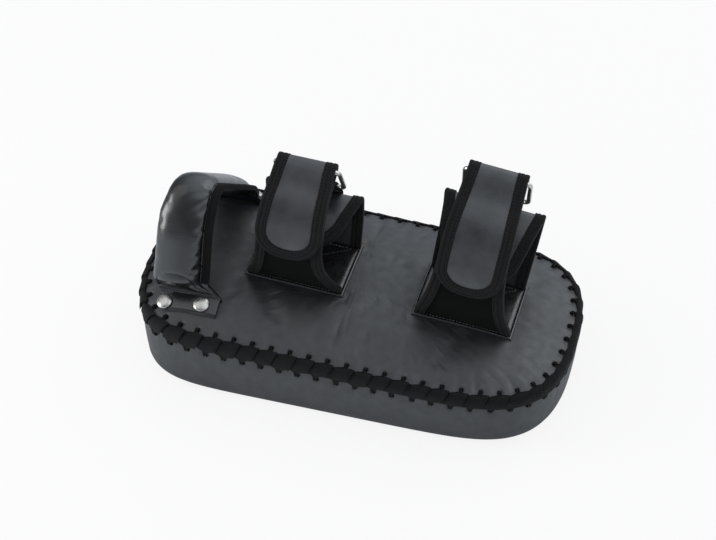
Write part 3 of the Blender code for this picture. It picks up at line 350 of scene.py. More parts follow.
def add_floor():
    mesh = bpy.data.meshes.new("floor")
    reach = FLOOR_REACH
    corners = [(-reach, -reach, 0), (reach, -reach, 0), (reach, reach, 0), (-reach, reach, 0)]
    mesh.from_pydata(corners, [], [(0, 1, 2, 3)])
    material = bpy.data.materials.new("floor")
    material.use_nodes = True
    nodes = Nodes(material.node_tree)
    shader = nodes.tree.nodes["Principled BSDF"]
    nodes.fill(shader, {"Base Color": FLOOR_COLOUR, "Roughness": 0.9, "Specular IOR Level": 0.0})
    camera, seen = backdrop_rays(nodes)
    # Camera rays see an evenly white floor; other rays see the painted pool of light and the painted
    # contact shadow
    level = nodes.mix(camera, floor_level(nodes), 1.0, "FLOAT")
    shade = nodes.mix(camera, (*ROOM_TINT, 1), WHITE)
    glow = nodes.add("Emission", 0, {"Color": shade, "Strength": level})
    share = nodes.math("MULTIPLY", seen, FLOOR_GLOW)
    mixed = nodes.add("MixShader", 0, {0: share, 1: shader.outputs[0], 2: glow})
    nodes.fill(nodes.tree.nodes["Material Output"], {"Surface": mixed})
    mesh.materials.append(material)
    floor = add_object("floor", mesh)
    floor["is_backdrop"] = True


# Materials


class Finish(Nodes):
    """Builds one procedural material: colour, roughness and bump from its nodes."""

    def __init__(self, name, colour, roughness, metallic=0.0, specular=0.5):
        self.material = bpy.data.materials.new(name)
        self.material.use_nodes = True
        super().__init__(self.material.node_tree)
        self.shader = self.tree.nodes["Principled BSDF"]
        self.colour = colour
        self.put("Base Color", (*colour, 1))
        self.put("Roughness", roughness)
        self.put("Metallic", metallic)
        self.put("Specular IOR Level", specular)
        self.material.diffuse_color = (*colour, 1)
        self.object = self.add("TexCoord", "Object")
        self.bumped = None

    def put(self, name, value):
        self.fill(self.shader, {name: value})

    def noise(self, scale, detail=3.0):
        inputs = {"Scale": scale, "Detail": detail, "Vector": self.object}
        return self.add("TexNoise", 0, inputs)

    def cells(self, scale):
        return self.add("TexVoronoi", "Distance", {"Scale": scale, "Vector": self.object})

    def run(self):
        """Length along and across a strip, in metres, from its own layer."""
        layer = self.add("UVMap", 0, uv_map="run")
        split = self.add("SeparateXYZ", 0, {0: layer}).node
        return split.outputs[0], split.outputs[1]

    def ripple(self, along, pitch):
        """A wave of 0 to 1 that repeats at this pitch."""
        wave = self.math("SINE", self.math("MULTIPLY", along, 2 * math.pi / pitch))
        return self.math("MULTIPLY_ADD", wave, 0.5, 0.5)

    def ramp(self, source, low, high, start, end):
        """Maps a value from low..high to start..end."""
        ends = {"From Min": low, "From Max": high, "To Min": start, "To Max": end}
        return self.add("MapRange", "Result", {"Value": source, **ends})

    def tint(self, source, low, high):
        """Scales the base colour between two shares, by a value of 0 to 1."""
        first, last = ((*[min(c * part, 1) for c in self.colour], 1) for part in (low, high))
        self.put("Base Color", self.mix(source, first, last))

    def rough(self, source, low, high):
        self.put("Roughness", self.ramp(source, 0.3, 0.7, low, high))

    def bump(self, height, depth, strength=1.0):
        inputs = {"Strength": strength, "Distance": depth, "Height": height}
        if self.bumped is not None:
            inputs["Normal"] = self.bumped
        self.bumped = self.add("Bump", 0, inputs)
        self.put("Normal", self.bumped)

    def sheen(self, weight, roughness):
        self.put("Sheen Weight", weight)
        self.put("Sheen Roughness", roughness)


def leather(name, colour, roughness, grain=0.05 * MM, creases=0.18 * MM, wear=0.15):
    """Roughness runs between two values, and wear is how far the colour varies."""
    finish = Finish(name, colour, sum(roughness) / 2, specular=1.0)
    patches = finish.noise(38, 4)
    finish.tint(finish.ramp(patches, 0.35, 0.65, 0, 1), 1 - wear, 1 + 2 * wear)
    finish.rough(finish.noise(120, 5), *roughness)
    finish.bump(finish.noise(60, 4), creases)
    finish.bump(finish.cells(900), grain)
    finish.bump(finish.noise(2600, 2), grain / 3)
    return finish.material


def webbing(name, colour, rib=1.1 * MM, depth=0.10 * MM, specular=0.25):
    """Ribs across the tape, with a fine twill between them and a fuzzy sheen."""
    finish = Finish(name, colour, 0.85, specular=specular)
    along, across = finish.run()
    ribs = finish.ripple(along, rib)
    twill = finish.ripple(finish.math("ADD", along, across), rib / 2.2)
    finish.tint(finish.math("MULTIPLY", ribs, finish.noise(900, 2)), 0.6, 1.9)
    finish.bump(ribs, depth)
    finish.bump(twill, depth / 3)
    finish.bump(finish.noise(2200, 3), depth / 2)
    finish.sheen(0.03, 0.5)
    return finish.material


def pile(name, colour):
    """Brushed loop pile."""
    finish = Finish(name, colour, 0.95, specular=0.05)
    fuzz = finish.noise(1500, 5)
    finish.tint(fuzz, 0.5, 1.6)
    finish.bump(fuzz, 0.5 * MM, 0.8)
    finish.bump(finish.noise(260, 3), 0.3 * MM, 0.5)
    finish.sheen(0.015, 0.6)
    return finish.material


def hooks(name, colour):
    finish = Finish(name, colour, 0.6, specular=0.4)
    dots = finish.cells(800)
    finish.tint(dots, 1.6, 0.5)
    finish.bump(dots, 0.4 * MM)
    return finish.material


def metal(name, colour):
    finish = Finish(name, colour, 0.25, metallic=1.0)
    finish.tint(finish.noise(300, 4), 0.85, 1.08)
    finish.rough(finish.noise(420, 6), 0.20, 0.36)
    finish.bump(finish.noise(110, 2), 0.03 * MM)
    finish.bump(finish.noise(1500, 2), 0.004 * MM)
    return finish.material


def foam(name, colour):
    finish = Finish(name, colour, 0.9, specular=0.2)
    bubbles = finish.cells(1200)
    finish.tint(bubbles, 0.7, 1.1)
    finish.bump(bubbles, 0.25 * MM)
    return finish.material


def board(name, colour):
    finish = Finish(name, colour, 0.8, specular=0.2)
    finish.tint(finish.noise(160, 6), 0.75, 1.2)
    finish.bump(finish.noise(900, 4), 0.1 * MM)
    return finish.material


# Meshes


def add_piece(name, points, faces, material, body, nodes=(), run=None, smooth=50):
    """A piece that rides on a body and stands for some solids; run is (along, across).

    A piece with no body is not attached to any."""
    mesh = bpy.data.meshes.new(name)
    mesh.from_pydata([tuple(p) for p in np.asarray(points, float)], [], [tuple(f) for f in faces])
    body_mesh = bmesh.new()
    body_mesh.from_mesh(mesh)
    bmesh.ops.recalc_face_normals(body_mesh, faces=body_mesh.faces)
    body_mesh.to_mesh(mesh)
    body_mesh.free()
    if run is not None:
        layer = mesh.uv_layers.new(name="run")
        corners = np.empty(len(mesh.loops), np.int32)
        mesh.loops.foreach_get("vertex_index", corners)
        layer.data.foreach_set("uv", np.asarray(run, np.float32)[corners].ravel())
    mesh.materials.append(material)
    mesh.shade_smooth()
    mesh.set_sharp_from_angle(angle=math.radians(smooth))
    obj = add_object(name, mesh)
    if body:
        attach(obj, body)
    if nodes:
        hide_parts(*nodes)
    return obj


def grid_faces(rows, columns, round_rows=False, round_columns=False):
    """Faces between the points of a grid, which meets itself where it is round."""
    faces = []
    for row in range(rows if round_rows else rows - 1):
        here, there = row * columns, (row + 1) % rows * columns
        for column in range(columns if round_columns else columns - 1):
            after = (column + 1) % columns
            faces.append((here + column, here + after, there + after, there + column))
    return faces


def loft_faces(rows, size, closed=False):
    ends = [] if closed else [tuple(range(size)), tuple(range(rows * size - size, rows * size))]
    return grid_faces(rows, size, closed, True) + ends


def lengths_along(points):
    steps = np.linalg.norm(np.diff(points, axis=0), axis=-1)
    return np.concatenate([np.zeros((1, *steps.shape[1:])), np.cumsum(steps, axis=0)])


def loft_run(rings):
    """Length along, and round the section, for each point of a loft."""
    rings = np.asarray(rings, float)
    middles = rings.mean(axis=1)
    along = np.repeat(lengths_along(middles)[:, None], rings.shape[1], axis=1)
    across = lengths_along(np.swapaxes(rings, 0, 1)).T
    return np.stack([along, across], axis=-1).reshape(-1, 2)


def loft(name, rings, material, body, nodes=(), closed=False, smooth=50):
    rings = np.asarray(rings, float)
    rows, size = rings.shape[:2]
    faces = loft_faces(rows, size, closed)
    run = loft_run(rings)
    return add_piece(name, rings.reshape(-1, 3), faces, material, body, nodes, run, smooth)


def ruffle(points, scale, seed=0.0):
    """Smooth noise of -1 to 1 at each point."""
    shift = Vector((seed, -seed, 2 * seed))
    return np.array([noise.noise(Vector(p) * scale + shift) for p in np.asarray(points)])


def unit(value):
    """The value, held to 0 to 1."""
    return min(max(value, 0.0), 1.0)


CLOTH_FRAMES = 20


def puffed(grid, pinned, pressure, spare, most, round_columns=False):
    """A sheet of leather over a soft filling: simulated cloth, held where pinned is 1.

    Returns how each point of the grid moved, which is less than most."""
    mesh = bpy.data.meshes.new("puff")
    faces = grid_faces(*grid.shape[:2], round_columns=round_columns)
    mesh.from_pydata([tuple(p) for p in grid.reshape(-1, 3)], [], faces)
    sheet = add_object("puff", mesh)
    group = sheet.vertex_groups.new(name="held")
    for index, weight in enumerate(pinned.ravel()):
        if weight > 0:
            group.add([index], float(weight), "REPLACE")
    cloth = sheet.modifiers.new("Cloth", "CLOTH")
    cloth.settings.quality = 6
    cloth.settings.mass = 0.2
    cloth.settings.use_pressure = True
    cloth.settings.uniform_pressure_force = pressure
    cloth.settings.vertex_group_mass = "held"
    cloth.settings.shrink_min = -spare
    cloth.settings.effector_weights.gravity = 0
    cloth.collision_settings.use_collision = False
    cloth.point_cache.frame_start = 1
    cloth.point_cache.frame_end = CLOTH_FRAMES
    for step in range(1, CLOTH_FRAMES + 1):
        bpy.context.scene.frame_set(step)
    graph = bpy.context.evaluated_depsgraph_get()
    settled = sheet.evaluated_get(graph).data
    points = np.empty(len(settled.vertices) * 3, np.float32)
    settled.vertices.foreach_get("co", points)
    bpy.data.objects.remove(sheet)
    bpy.context.scene.frame_set(1)
    moved = points.reshape(grid.shape).astype(float) - grid
    size = np.linalg.norm(moved, axis=-1, keepdims=True)
    return moved * (most * np.tanh(size / most) / np.maximum(size, 1e-9))


# The pad's surfaces


def squareness(x):
    x = np.asarray(x)
    return [np.where(x < 0, a, b) for a, b in zip(HANDLE_END_SQUARENESS, ELBOW_END_SQUARENESS)]


def edge_share(x, y):
    along, across = squareness(x)
    return np.minimum(np.abs(2 * x / PAD_LENGTH) ** along + np.abs(2 * y / PAD_WIDTH) ** across, 1.0)


def seam_z(x):
    return SEAM_HEIGHT - SEAM_DROP * x / PAD_LENGTH


def back_z(x, y):
    crown = CROWN_HEIGHT - CROWN_LOSS * x / PAD_LENGTH
    return seam_z(x) + GAP / 2 + BACK_LEATHER + crown * (1 - edge_share(x, y))


def back_normal(x, y):
    step = 0.5 * MM
    slope_x = (back_z(x + step, y) - back_z(x - step, y)) / (2 * step)
    slope_y = (back_z(x, y + step) - back_z(x, y - step)) / (2 * step)
    return Vector((-slope_x, -slope_y, 1.0)).normalized()


def wall_reach(z, x):
    drop = np.clip(1 - z / seam_z(x), 0.0, 1.0)
    return WALL_BULGE * np.sin(math.pi * drop**0.75)


def outline_table(steps=2880):
    angle = 2 * math.pi * (np.arange(steps) / steps - 0.25)
    c, s = np.cos(angle), np.sin(angle)
    along, across = squareness(c)
    x = np.copysign(np.abs(c) ** (2 / along), c) * PAD_LENGTH / 2
    y = np.copysign(np.abs(s) ** (2 / across), s) * PAD_WIDTH / 2
    points = np.stack([x, y], axis=1)
    points = np.vstack([points, points[:1]])
    return points, lengths_along(points)


OUTLINE, OUTLINE_LENGTHS = outline_table()
PERIMETER = OUTLINE_LENGTHS[-1]
WRAPS = max(24, round(PERIMETER / LACE_PITCH))


TANGENT_REACH = 0.002  # share of the way round, to each side of a point


def outline_points(share):
    run = share % 1.0 * PERIMETER
    return np.stack([np.interp(run, OUTLINE_LENGTHS, OUTLINE[:, k]) for k in (0, 1)], axis=-1)


def outline_at(share):
    """Points, tangents and outward normals at these shares of the way round."""
    share = np.atleast_1d(np.asarray(share, float))
    shifts = (-TANGENT_REACH, 0.0, TANGENT_REACH)
    before, here, after = (outline_points(share + shift) for shift in shifts)
    tangent = (after - before) / np.linalg.norm(after - before, axis=-1, keepdims=True)
    return here, tangent, np.stack([tangent[:, 1], -tangent[:, 0]], axis=-1)


def lower_hole_drop(share):
    return LOWER_HOLE_DROP - LOWER_HOLE_RISE * outline_at(share)[0][:, 0] / PAD_LENGTH


def edge_points(share, out, z=None, drop=0.0):
    here, _, normal = outline_at(share)
    flat = here + normal * np.broadcast_to(out, len(here))[:, None]
    height = seam_z(flat[:, 0]) - drop if z is None else np.broadcast_to(z, len(here))
    return np.column_stack([flat, height])


# Covers

COLUMNS = 16  # a pitch
COARSE = 8
HOLE_COLUMNS = 2  # each side of a hole's middle
HOLE_SQUEEZE = 0.3  # how far the columns draw together there
SQUEEZE_REACH = 0.18  # share of a pitch
HOLE_ROWS = (5, 7)
MIDDLE_ROWS = 46


class Shell:
    """A leather shell with a row of lacing holes below its rim, from fine rows."""

    def __init__(self, slant):
        count = WRAPS * COLUMNS
        phase = np.arange(count) / COLUMNS
        off = phase - np.round(phase)
        phase = np.round(phase) + off * (1 - HOLE_SQUEEZE * np.exp(-((off / SQUEEZE_REACH) ** 2)))
        self.share = (phase + slant) / WRAPS + LACE_START / PERIMETER
        self.points = []
        self.count = 0
        self.faces = []

    def add_rows(self, rows):
        starts = []
        for row in rows:
            starts.append((self.count, len(row)))
            self.points.append(row)
            self.count += len(row)
        return starts

    def join(self, first, second, skip=()):
        (a, size), (b, _) = first, second
        for k in range(size):
            if k % COLUMNS in skip:
                continue
            after = (k + 1) % size
            self.faces.append((a + k, a + after, b + after, b + k))

    def join_to_coarse(self, fine, coarse):
        step = COLUMNS // COARSE
        (a, size), (b, fewer) = fine, coarse
        for k in range(fewer):
            edge = [a + (k * step + i) % size for i in range(step + 1)]
            self.faces.append((*edge, b + (k + 1) % fewer, b + k))

    def add_skin(self, fine, coarse, middle):
        fine = self.add_rows(fine)
        coarse = self.add_rows(coarse)
        skip = {k % COLUMNS for k in range(-HOLE_COLUMNS, HOLE_COLUMNS)}
        for k, (first, second) in enumerate(zip(fine, fine[1:])):
            in_hole = HOLE_ROWS[0] <= k < HOLE_ROWS[1]
            self.join(first, second, skip if in_hole else ())
        self.join_to_coarse(fine[-1], coarse[0])
        for first, second in zip(coarse, coarse[1:]):
            self.join(first, second)
        self.points.append(np.array([middle]))
        start, size = coarse[-1]
        for k in range(size):
            self.faces.append((start + k, start + (k + 1) % size, self.count))
        self.count += 1
        return fine

    def line_holes(self, outer, inner):
        low, high = HOLE_ROWS
        for wrap in range(WRAPS):
            ring = [(low, k) for k in range(-HOLE_COLUMNS, HOLE_COLUMNS + 1)]
            ring += [(row, HOLE_COLUMNS) for row in range(low + 1, high + 1)]
            ring += [(high, k) for k in range(HOLE_COLUMNS - 1, -HOLE_COLUMNS - 1, -1)]
            ring += [(row, -HOLE_COLUMNS) for row in range(high - 1, low, -1)]

            def corner(rows, place):
                row, k = place
                start, size = rows[row]
                return start + (wrap * COLUMNS + k) % size

            for here, after in zip(ring, ring[1:] + ring[:1]):
                face = [corner(outer, here), corner(outer, after)]
                self.faces.append((*face, corner(inner, after), corner(inner, here)))

    def build(self, name, material, nodes, skins):
        """Joins the outer and the inner skin round the rim and the holes."""
        self.join(skins[0][0], skins[1][0])
        self.line_holes(*skins)
        points = np.concatenate(self.points)
        cover = add_piece(name, points, self.faces, material, "pad", nodes, smooth=60)


def lace_phase(share, slant=0.0):
    """Pitches from the first hole of a row."""
    return (share - LACE_START / PERIMETER) * WRAPS - slant


def hole_dent(phase, away, depth, reach):
    """How far leather sinks round a hole: phase in pitches from it, away across it."""
    nearest = phase - np.round(phase)
    distance = np.hypot(nearest * LACE_PITCH, away)
    lip = 0.35 * depth * np.exp(-(((distance - 0.9 * reach) / (0.3 * reach)) ** 2))
    return depth * np.exp(-((distance / reach) ** 2)) - lip


def puckers(share, slant, away, start, fade, height):
    """Short folds that run away from the holes and die out."""
    phase = lace_phase(share, slant)
    wander = 0.35 * np.sin(2.3 * phase) + 0.25 * np.sin(5.1 * phase + 1)
    wave = np.cos(2 * math.pi * (phase + 0.06 * wander))
    minor = 0.5 * np.cos(4 * math.pi * phase + 2 * wander)
    strength = 0.65 + 0.35 * np.sin(1.7 * phase + 0.6)
    return -height * strength * (wave + minor) * np.exp(-((away - start) / fade))


# Creases of the back: x and y of both ends, width and depth, which is negative for a ridge
CREASES = MM * np.array([
    (63.5, -95, 62.5, -66, 2.4, 1.1),
    (70, -96, 67, -74, 4.2, -1.3),
    (56, -92, 59, -58, 5.5, -0.8),
    (72, -72, 80, -46, 9, 0.8),
    (18, -94, 12, -72, 5, 0.5),
    (-62, -94, -70, -68, 5, 0.6),
    (128, -92, 124, -70, 3.2, 0.7),
    (133, -90, 130, -72, 3.5, -0.7),
    (158, -82, 146, -62, 5, 0.6),
    (-30, 94, -20, 66, 7, 0.6),
    (60, 94, 48, 70, 7, 0.5),
])


def crease_depth(points):
    depth = np.zeros(len(points))
    for crease in CREASES:
        start, end, (width, deepest) = crease[:2], crease[2:4], crease[4:]
        way = end - start
        along = (points[:, :2] - start) @ way / (way @ way)
        off = points[:, :2] - start - np.clip(along, 0, 1)[:, None] * way
        side = np.linalg.norm(off, axis=1) / width
        fade = np.clip(1.15 - along, 0, 1) * np.clip(along + 0.8, 0, 1)
        depth += deepest * fade * np.exp(-(side**2))
    return depth


FITTING_FEATHER = 5 * MM
TAB_SEAT = 12 * MM  # half the depth of the back that a tab holds down


def under_fittings(points):
    """1 under the patches and the handle's tabs, where the back lies as in the solids."""
    held = np.zeros(len(points))
    patch = (PATCH_LENGTH / 2, (PATCH_FAR - PATCH_NEAR) / 2)
    tab = (TAB_WIDTH / 2, TAB_SEAT)
    areas = [(shape.x, PATCH_MIDDLE, *patch) for shape in STRAPS.values()]
    areas += [(TAB_MIDDLE, side * (TAB_EDGE + TAB_BEND) / 2, *tab) for side in (-1, 1)]
    for x, y, half_x, half_y in areas:
        away = np.maximum(np.abs(points[:, 0] - x) - half_x, np.abs(points[:, 1] - y) - half_y)
        held = np.maximum(held, np.clip(1 - away / FITTING_FEATHER, 0, 1))
    return held


BACK_INSETS = np.array([0, 0.5, 1.1, 1.8, 2.3, 2.8, 4.2, 5.6, 6.4, 7.6, 9.4, 11.6]) * MM
BACK_PUCKERS = (15 * MM, 0.42 * MM)  # how far they run, and their height
WALL_PUCKERS = (13 * MM, 0.3 * MM)
SIM_COLUMNS = 4  # a pitch
SIM_ROWS = 22
SIM_DEPTH = 0.25  # the innermost simulated row, as a share of the outline
RIM_HOLD = 0.6  # between the holes


def back_grid(share, inset=None, scale=None):
    ring = edge_points(share, -(BACK_INSETS[-1] if inset is None else inset))
    if scale is not None:
        ring = ring * np.array([scale, scale, 1])
    ring[:, 2] = back_z(ring[:, 0], ring[:, 1])
    return ring


def middle_scales():
    return 1 - np.linspace(0, 1, MIDDLE_ROWS + 1)[1:-1] ** 0.9


def settled_back():
    """Simulated lift of the back cover, as a table by share and by row."""
    share = np.arange(WRAPS * SIM_COLUMNS) / (WRAPS * SIM_COLUMNS)
    scales = np.linspace(1, SIM_DEPTH, SIM_ROWS)
    grid = np.array([back_grid(share, scale=s) for s in scales])
    held = under_fittings(grid.reshape(-1, 3)).reshape(grid.shape[:2])
    held[0, ::SIM_COLUMNS] = 1
    held[0] = np.maximum(held[0], RIM_HOLD)
    held[-1] = 1
    moved = puffed(grid, held, pressure=3.0, spare=0.012, most=1.6 * MM, round_columns=True)
    return share, scales, moved[..., 2]


def back_lift(points, share, scale, settled):
    """Everything that the leather of the back does beyond its plain crown."""
    free = 1 - under_fittings(points)
    lift = 0.45 * MM * ruffle(points, 26, 3.1) + 0.16 * MM * ruffle(points, 75, 7.7)
    lift -= crease_depth(points)
    if settled is not None:
        shares, scales, table = settled
        column = (share % 1.0) * len(shares)
        low = np.floor(column).astype(int)
        part = column - low
        row = np.interp(scale, scales[::-1], np.arange(len(scales))[::-1])
        top = np.floor(row).astype(int)
        down = np.minimum(top + 1, len(scales) - 1)
        blend = row - top
        before, after = low % len(shares), (low + 1) % len(shares)
        a, b = (table[k, before] * (1 - part) + table[k, after] * part for k in (top, down))
        lift += (a * (1 - blend) + b * blend) * (scale >= scales[-1])
    return lift * free


def build_back(material, settled):
    shell = Shell(0.0)
    share = shell.share
    phase = lace_phase(share)
    skins = []
    for depth in (0.0, BACK_LEATHER):
        fine = []
        for inset in BACK_INSETS:
            row = back_grid(share, inset)
            lift = back_lift(row, share, 1.0, settled) * np.clip(inset / (4 * MM), 0.15, 1)
            sink = hole_dent(phase, inset - UPPER_HOLE_INSET, 1.1 * MM, 3.6 * MM)
            fold = puckers(share, 0.0, inset, UPPER_HOLE_INSET, *BACK_PUCKERS)
            near = np.clip(inset / (5 * MM), 0, 1) * (1 - under_fittings(row))
            row[:, 2] += lift - sink + fold * near - depth
            fine.append(row)
        coarse_share = share[:: COLUMNS // COARSE]
        coarse = []
        for scale in middle_scales():
            row = back_grid(coarse_share, scale=scale)
            away = BACK_INSETS[-1] + (1 - scale) * PAD_WIDTH / 2
            fold = puckers(coarse_share, 0.0, away, UPPER_HOLE_INSET, *BACK_PUCKERS)
            row[:, 2] += back_lift(row, coarse_share, scale, settled) - depth
            row[:, 2] += fold * (1 - under_fittings(row))
            coarse.append(row)
        skins.append(shell.add_skin(fine, coarse, (0, 0, back_z(0.0, 0.0) - depth)))
    shell.build("back_cover_leather", material, ["back_cover"], skins)


ABOVE_HOLES = np.array([0.01, 0.2, 0.42, 0.64, 0.84])  # shares of the way down to a hole
BELOW_HOLES = np.array([-1.4, 0, 1.4, 3, 5.5, 9]) * MM  # from the holes' middles


def wall_drops(share):
    middle = lower_hole_drop(share)
    above = [part * (middle - HOLE_HEIGHT / 2) for part in ABOVE_HOLES]
    return above + [middle + drop for drop in BELOW_HOLES]


def wall_waves(points):
    return 0.35 * MM * ruffle(points, 24, 5.5)


def build_front(material):
    slant = 1 - LACE_SLANT
    shell = Shell(slant)
    share = shell.share
    phase = lace_phase(share, slant)
    skins = []
    for inset in (0.0, FRONT_LEATHER):
        fine = []
        for drop in wall_drops(share):
            row = edge_points(share, 0.0, drop=drop)
            below = drop - lower_hole_drop(share)
            sink = hole_dent(phase, below, 1.2 * MM, 4.2 * MM)
            sink -= puckers(share, slant, abs(below), 0.0, *WALL_PUCKERS) * (below > -6 * MM)
            sink -= wall_waves(row) * (drop > 3 * MM)
            fine.append(edge_points(share, wall_reach(row[:, 2], row[:, 0]) - inset - sink, drop=drop))
        coarse_share = share[:: COLUMNS // COARSE]
        coarse = []
        for part in np.linspace(0, 1, 7)[1:]:
            row = edge_points(coarse_share, 0.0, drop=wall_drops(coarse_share)[-1])
            z = row[:, 2] * (1 - part) + FLOOR_FILLET * part
            row[:, 2] = z
            waves = wall_waves(row) * (1 - part)
            away = 9 * MM + part * 22 * MM
            waves += puckers(coarse_share, slant, away, 0.0, *WALL_PUCKERS) * (1 - part)
            coarse.append(edge_points(coarse_share, wall_reach(z, row[:, 0]) - inset + waves, z=z))
        x = edge_points(coarse_share, 0.0)[:, 0]
        middle = wall_reach(FLOOR_FILLET, x) - FLOOR_FILLET
        radius = FLOOR_FILLET - inset
        for angle in np.linspace(0, math.pi / 2, 9)[1:]:
            z = FLOOR_FILLET - radius * math.sin(angle)
            coarse.append(edge_points(coarse_share, middle + radius * math.cos(angle), z=z))
        rim = coarse[-1].copy()
        for scale in (0.94, 0.8, 0.6, 0.35, 0.12):
            coarse.append(rim * np.array([scale, scale, 1]))
        skins.append(shell.add_skin(fine, coarse, (0, 0, inset)))
    shell.build("front_cover_leather", material, ["front_cover"], skins)


# Welt and lacing

WELT_SNUG = 0.5 * MM  # the welt's inner side lies this much closer to the wall than its solid


def build_welt(material):
    share = np.arange(WRAPS * 4) / (WRAPS * 4)
    sides = 16
    rings = []
    for side in range(sides):
        angle = 2 * math.pi * (side + 0.5) / sides
        across, up = math.cos(angle), math.sin(angle)
        out = math.copysign(abs(across) ** 0.6, across) * WELT_THICKNESS / 2
        drop = WELT_DROP - math.copysign(abs(up) ** 0.8, up) * WELT_HEIGHT / 2
        base = edge_points(share, 0.0, drop=drop)
        bulge = wall_reach(base[:, 2], base[:, 0]) if drop > 0 else 0.0
        if across < 0:
            out -= WELT_SNUG
        rings.append(edge_points(share, 2 * GAP + WELT_THICKNESS / 2 + bulge + out, drop=drop))
    rings = np.swapaxes(np.array(rings), 0, 1)
    loft("welt_band", rings, material, "pad", ["edge_welt"], closed=True)


def smooth_path(values, parts):
    """A smooth curve through rows of values, with this many parts between two rows."""
    before = np.vstack([2 * values[:1] - values[1:2], values, 2 * values[-1:] - values[-2:-1]])
    rows = []
    for k in range(len(values) - 1):
        a, b, c, d = before[k : k + 4]
        slope, bend, twist = c - a, 2 * a - 5 * b + 4 * c - d, 3 * b - a - 3 * c + d
        for t in np.arange(parts) / parts:
            rows.append(0.5 * (2 * b + slope * t + bend * t**2 + twist * t**3))
    return np.array([*rows, values[-1]])


def wrap_stations(index, vary):
    """One wrap as (share, out, height, width, pinch), from under its upper hole to its lower."""
    start = LACE_START / PERIMETER - index / WRAPS
    slant = LACE_SLANT / WRAPS
    half = LACE_THICKNESS / 2
    rest = WELT_THICKNESS + LACE_STANDOFF + half + 2 * GAP
    above = WELT_HEIGHT / 2 - WELT_DROP + LACE_STANDOFF + half
    low = start - slant
    low_drop = float(lower_hole_drop(low)[0])
    seam = float(seam_z(edge_points(start, 0)[0][0]))
    lean, spread, proud, foot = vary
    full = LACE_WIDTH * (1 + 0.05 * spread)
    lean = 0.06 * slant * lean / LACE_SLANT
    rest += 0.25 * MM * proud
    band = low_drop - BAND_FOOT + 0.7 * MM * foot

    def over_back(inset, lift):
        x, y, _ = edge_points(start, -inset)[0]
        return float(back_z(x, y)) + lift

    def beside_wall(part, drop, out):
        share = start - slant * part + lean
        x, _, z = edge_points(share, 0.0, drop=drop)[0]
        return share, out + float(wall_reach(z, x)), z

    inset = UPPER_HOLE_INSET
    deep = BACK_LEATHER + LACE_STANDOFF + half
    return [
        (start, -inset - 0.5 * MM, over_back(inset, -deep), LACE_NECK, 1.0),
        (start, -inset + 0.3 * MM, over_back(inset, 0.1 * MM), LACE_NECK, 1.0),
        (start - 0.03 * slant, -2.4 * MM, over_back(2.4 * MM, 0.8 * MM), LACE_NECK, 1.0),
        (start - 0.06 * slant, -1.0 * MM, seam + BACK_LEATHER + 1.0 * MM, LACE_NECK * 1.3, 0.9),
        (start - 0.10 * slant + lean, -0.1 * MM, seam + above + 0.6 * MM, full * 0.90, 0.3),
        (start - 0.14 * slant + lean, 0.7 * MM, seam + above + 0.6 * MM, full * 1.02, 0.0),
        (start - 0.24 * slant + lean, 2.6 * MM, seam + above - 0.1 * MM, full * 1.02, 0.0),
        (start - 0.34 * slant + lean, rest - 0.4 * MM, seam + 0.3 * MM, full, 0.0),
        (*beside_wall(0.5, 0.32 * band, rest - 0.3 * MM), full, 0.0),
        (*beside_wall(0.66, 0.68 * band, rest - 0.7 * MM), full, 0.0),
        (*beside_wall(0.80, band, rest - 1.2 * MM), full * 1.02, 0.0),
        (*beside_wall(0.83, band + 0.8 * MM, 3.0 * MM), full * 0.92, 0.1),
        (*beside_wall(0.87, band + 1.6 * MM, 2.5 * MM), full * 0.45, 0.6),
        (*beside_wall(0.93, band + 3.6 * MM, 1.8 * MM), full * 0.27, 0.9),
        (*beside_wall(0.98, low_drop - 1.8 * MM, 1.1 * MM), LACE_NECK * 1.1, 1.0),
        (*beside_wall(1.0, low_drop - 0.5 * MM, 0.5 * MM), LACE_NECK, 1.0),
        (*beside_wall(1.0, low_drop, -FRONT_LEATHER - LACE_STANDOFF - half), LACE_NECK, 1.0),
    ]


def build_lacing(material):
    """One flat soft lace, gathered at its holes and spread where it lies over the welt."""
    varied = np.random.default_rng(5).uniform(-1, 1, (WRAPS, 4))
    stations = np.array([s for index in range(WRAPS) for s in wrap_stations(index, varied[index])])
    dense = smooth_path(stations, 3)
    share, out, z, width, pinch = dense.T
    width = np.maximum(width, LACE_NECK * 0.8)
    pinch = np.clip(pinch, 0, 1)
    centres = edge_points(share, out, z=z)
    _, tangent, _ = outline_at(share)
    along = np.column_stack([tangent, np.zeros(len(tangent))])
    heading = np.gradient(centres, axis=0)
    heading -= along * np.sum(heading * along, axis=1)[:, None]
    heading /= np.linalg.norm(heading, axis=1)[:, None] + 1e-12
    across = np.cross(along, heading)
    sides = 13
    u = np.sin(np.linspace(-math.pi / 2, math.pi / 2, sides))
    rim = np.sqrt(1 - 0.97 * np.abs(u) ** 5) * LACE_THICKNESS / 2
    groove = np.exp(-(((u - 0.25) / 0.14) ** 2)) + 0.7 * np.exp(-(((u + 0.45) / 0.14) ** 2))
    rings = []
    for k in range(len(centres)):
        x = u * width[k] / 2
        flat = 1 - pinch[k]
        dome = -0.9 * MM * pinch[k] * u**2 + 0.3 * MM * flat * (1 - u**2)
        dome += 0.28 * MM * pinch[k] * np.cos(3 * math.pi * u) - LACE_TUCK * x * flat
        top = dome + rim - 0.22 * MM * groove * flat
        place = centres[k] + along[k] * x[:, None]
        upper = place + across[k] * top[:, None]
        lower = place + across[k] * (dome - rim)[:, None]
        rings.append(np.vstack([upper, lower[::-1]]))
    loft("whipped_lace", np.array(rings), material, "pad", ["edge_lacing"], smooth=70)


# Side profiles


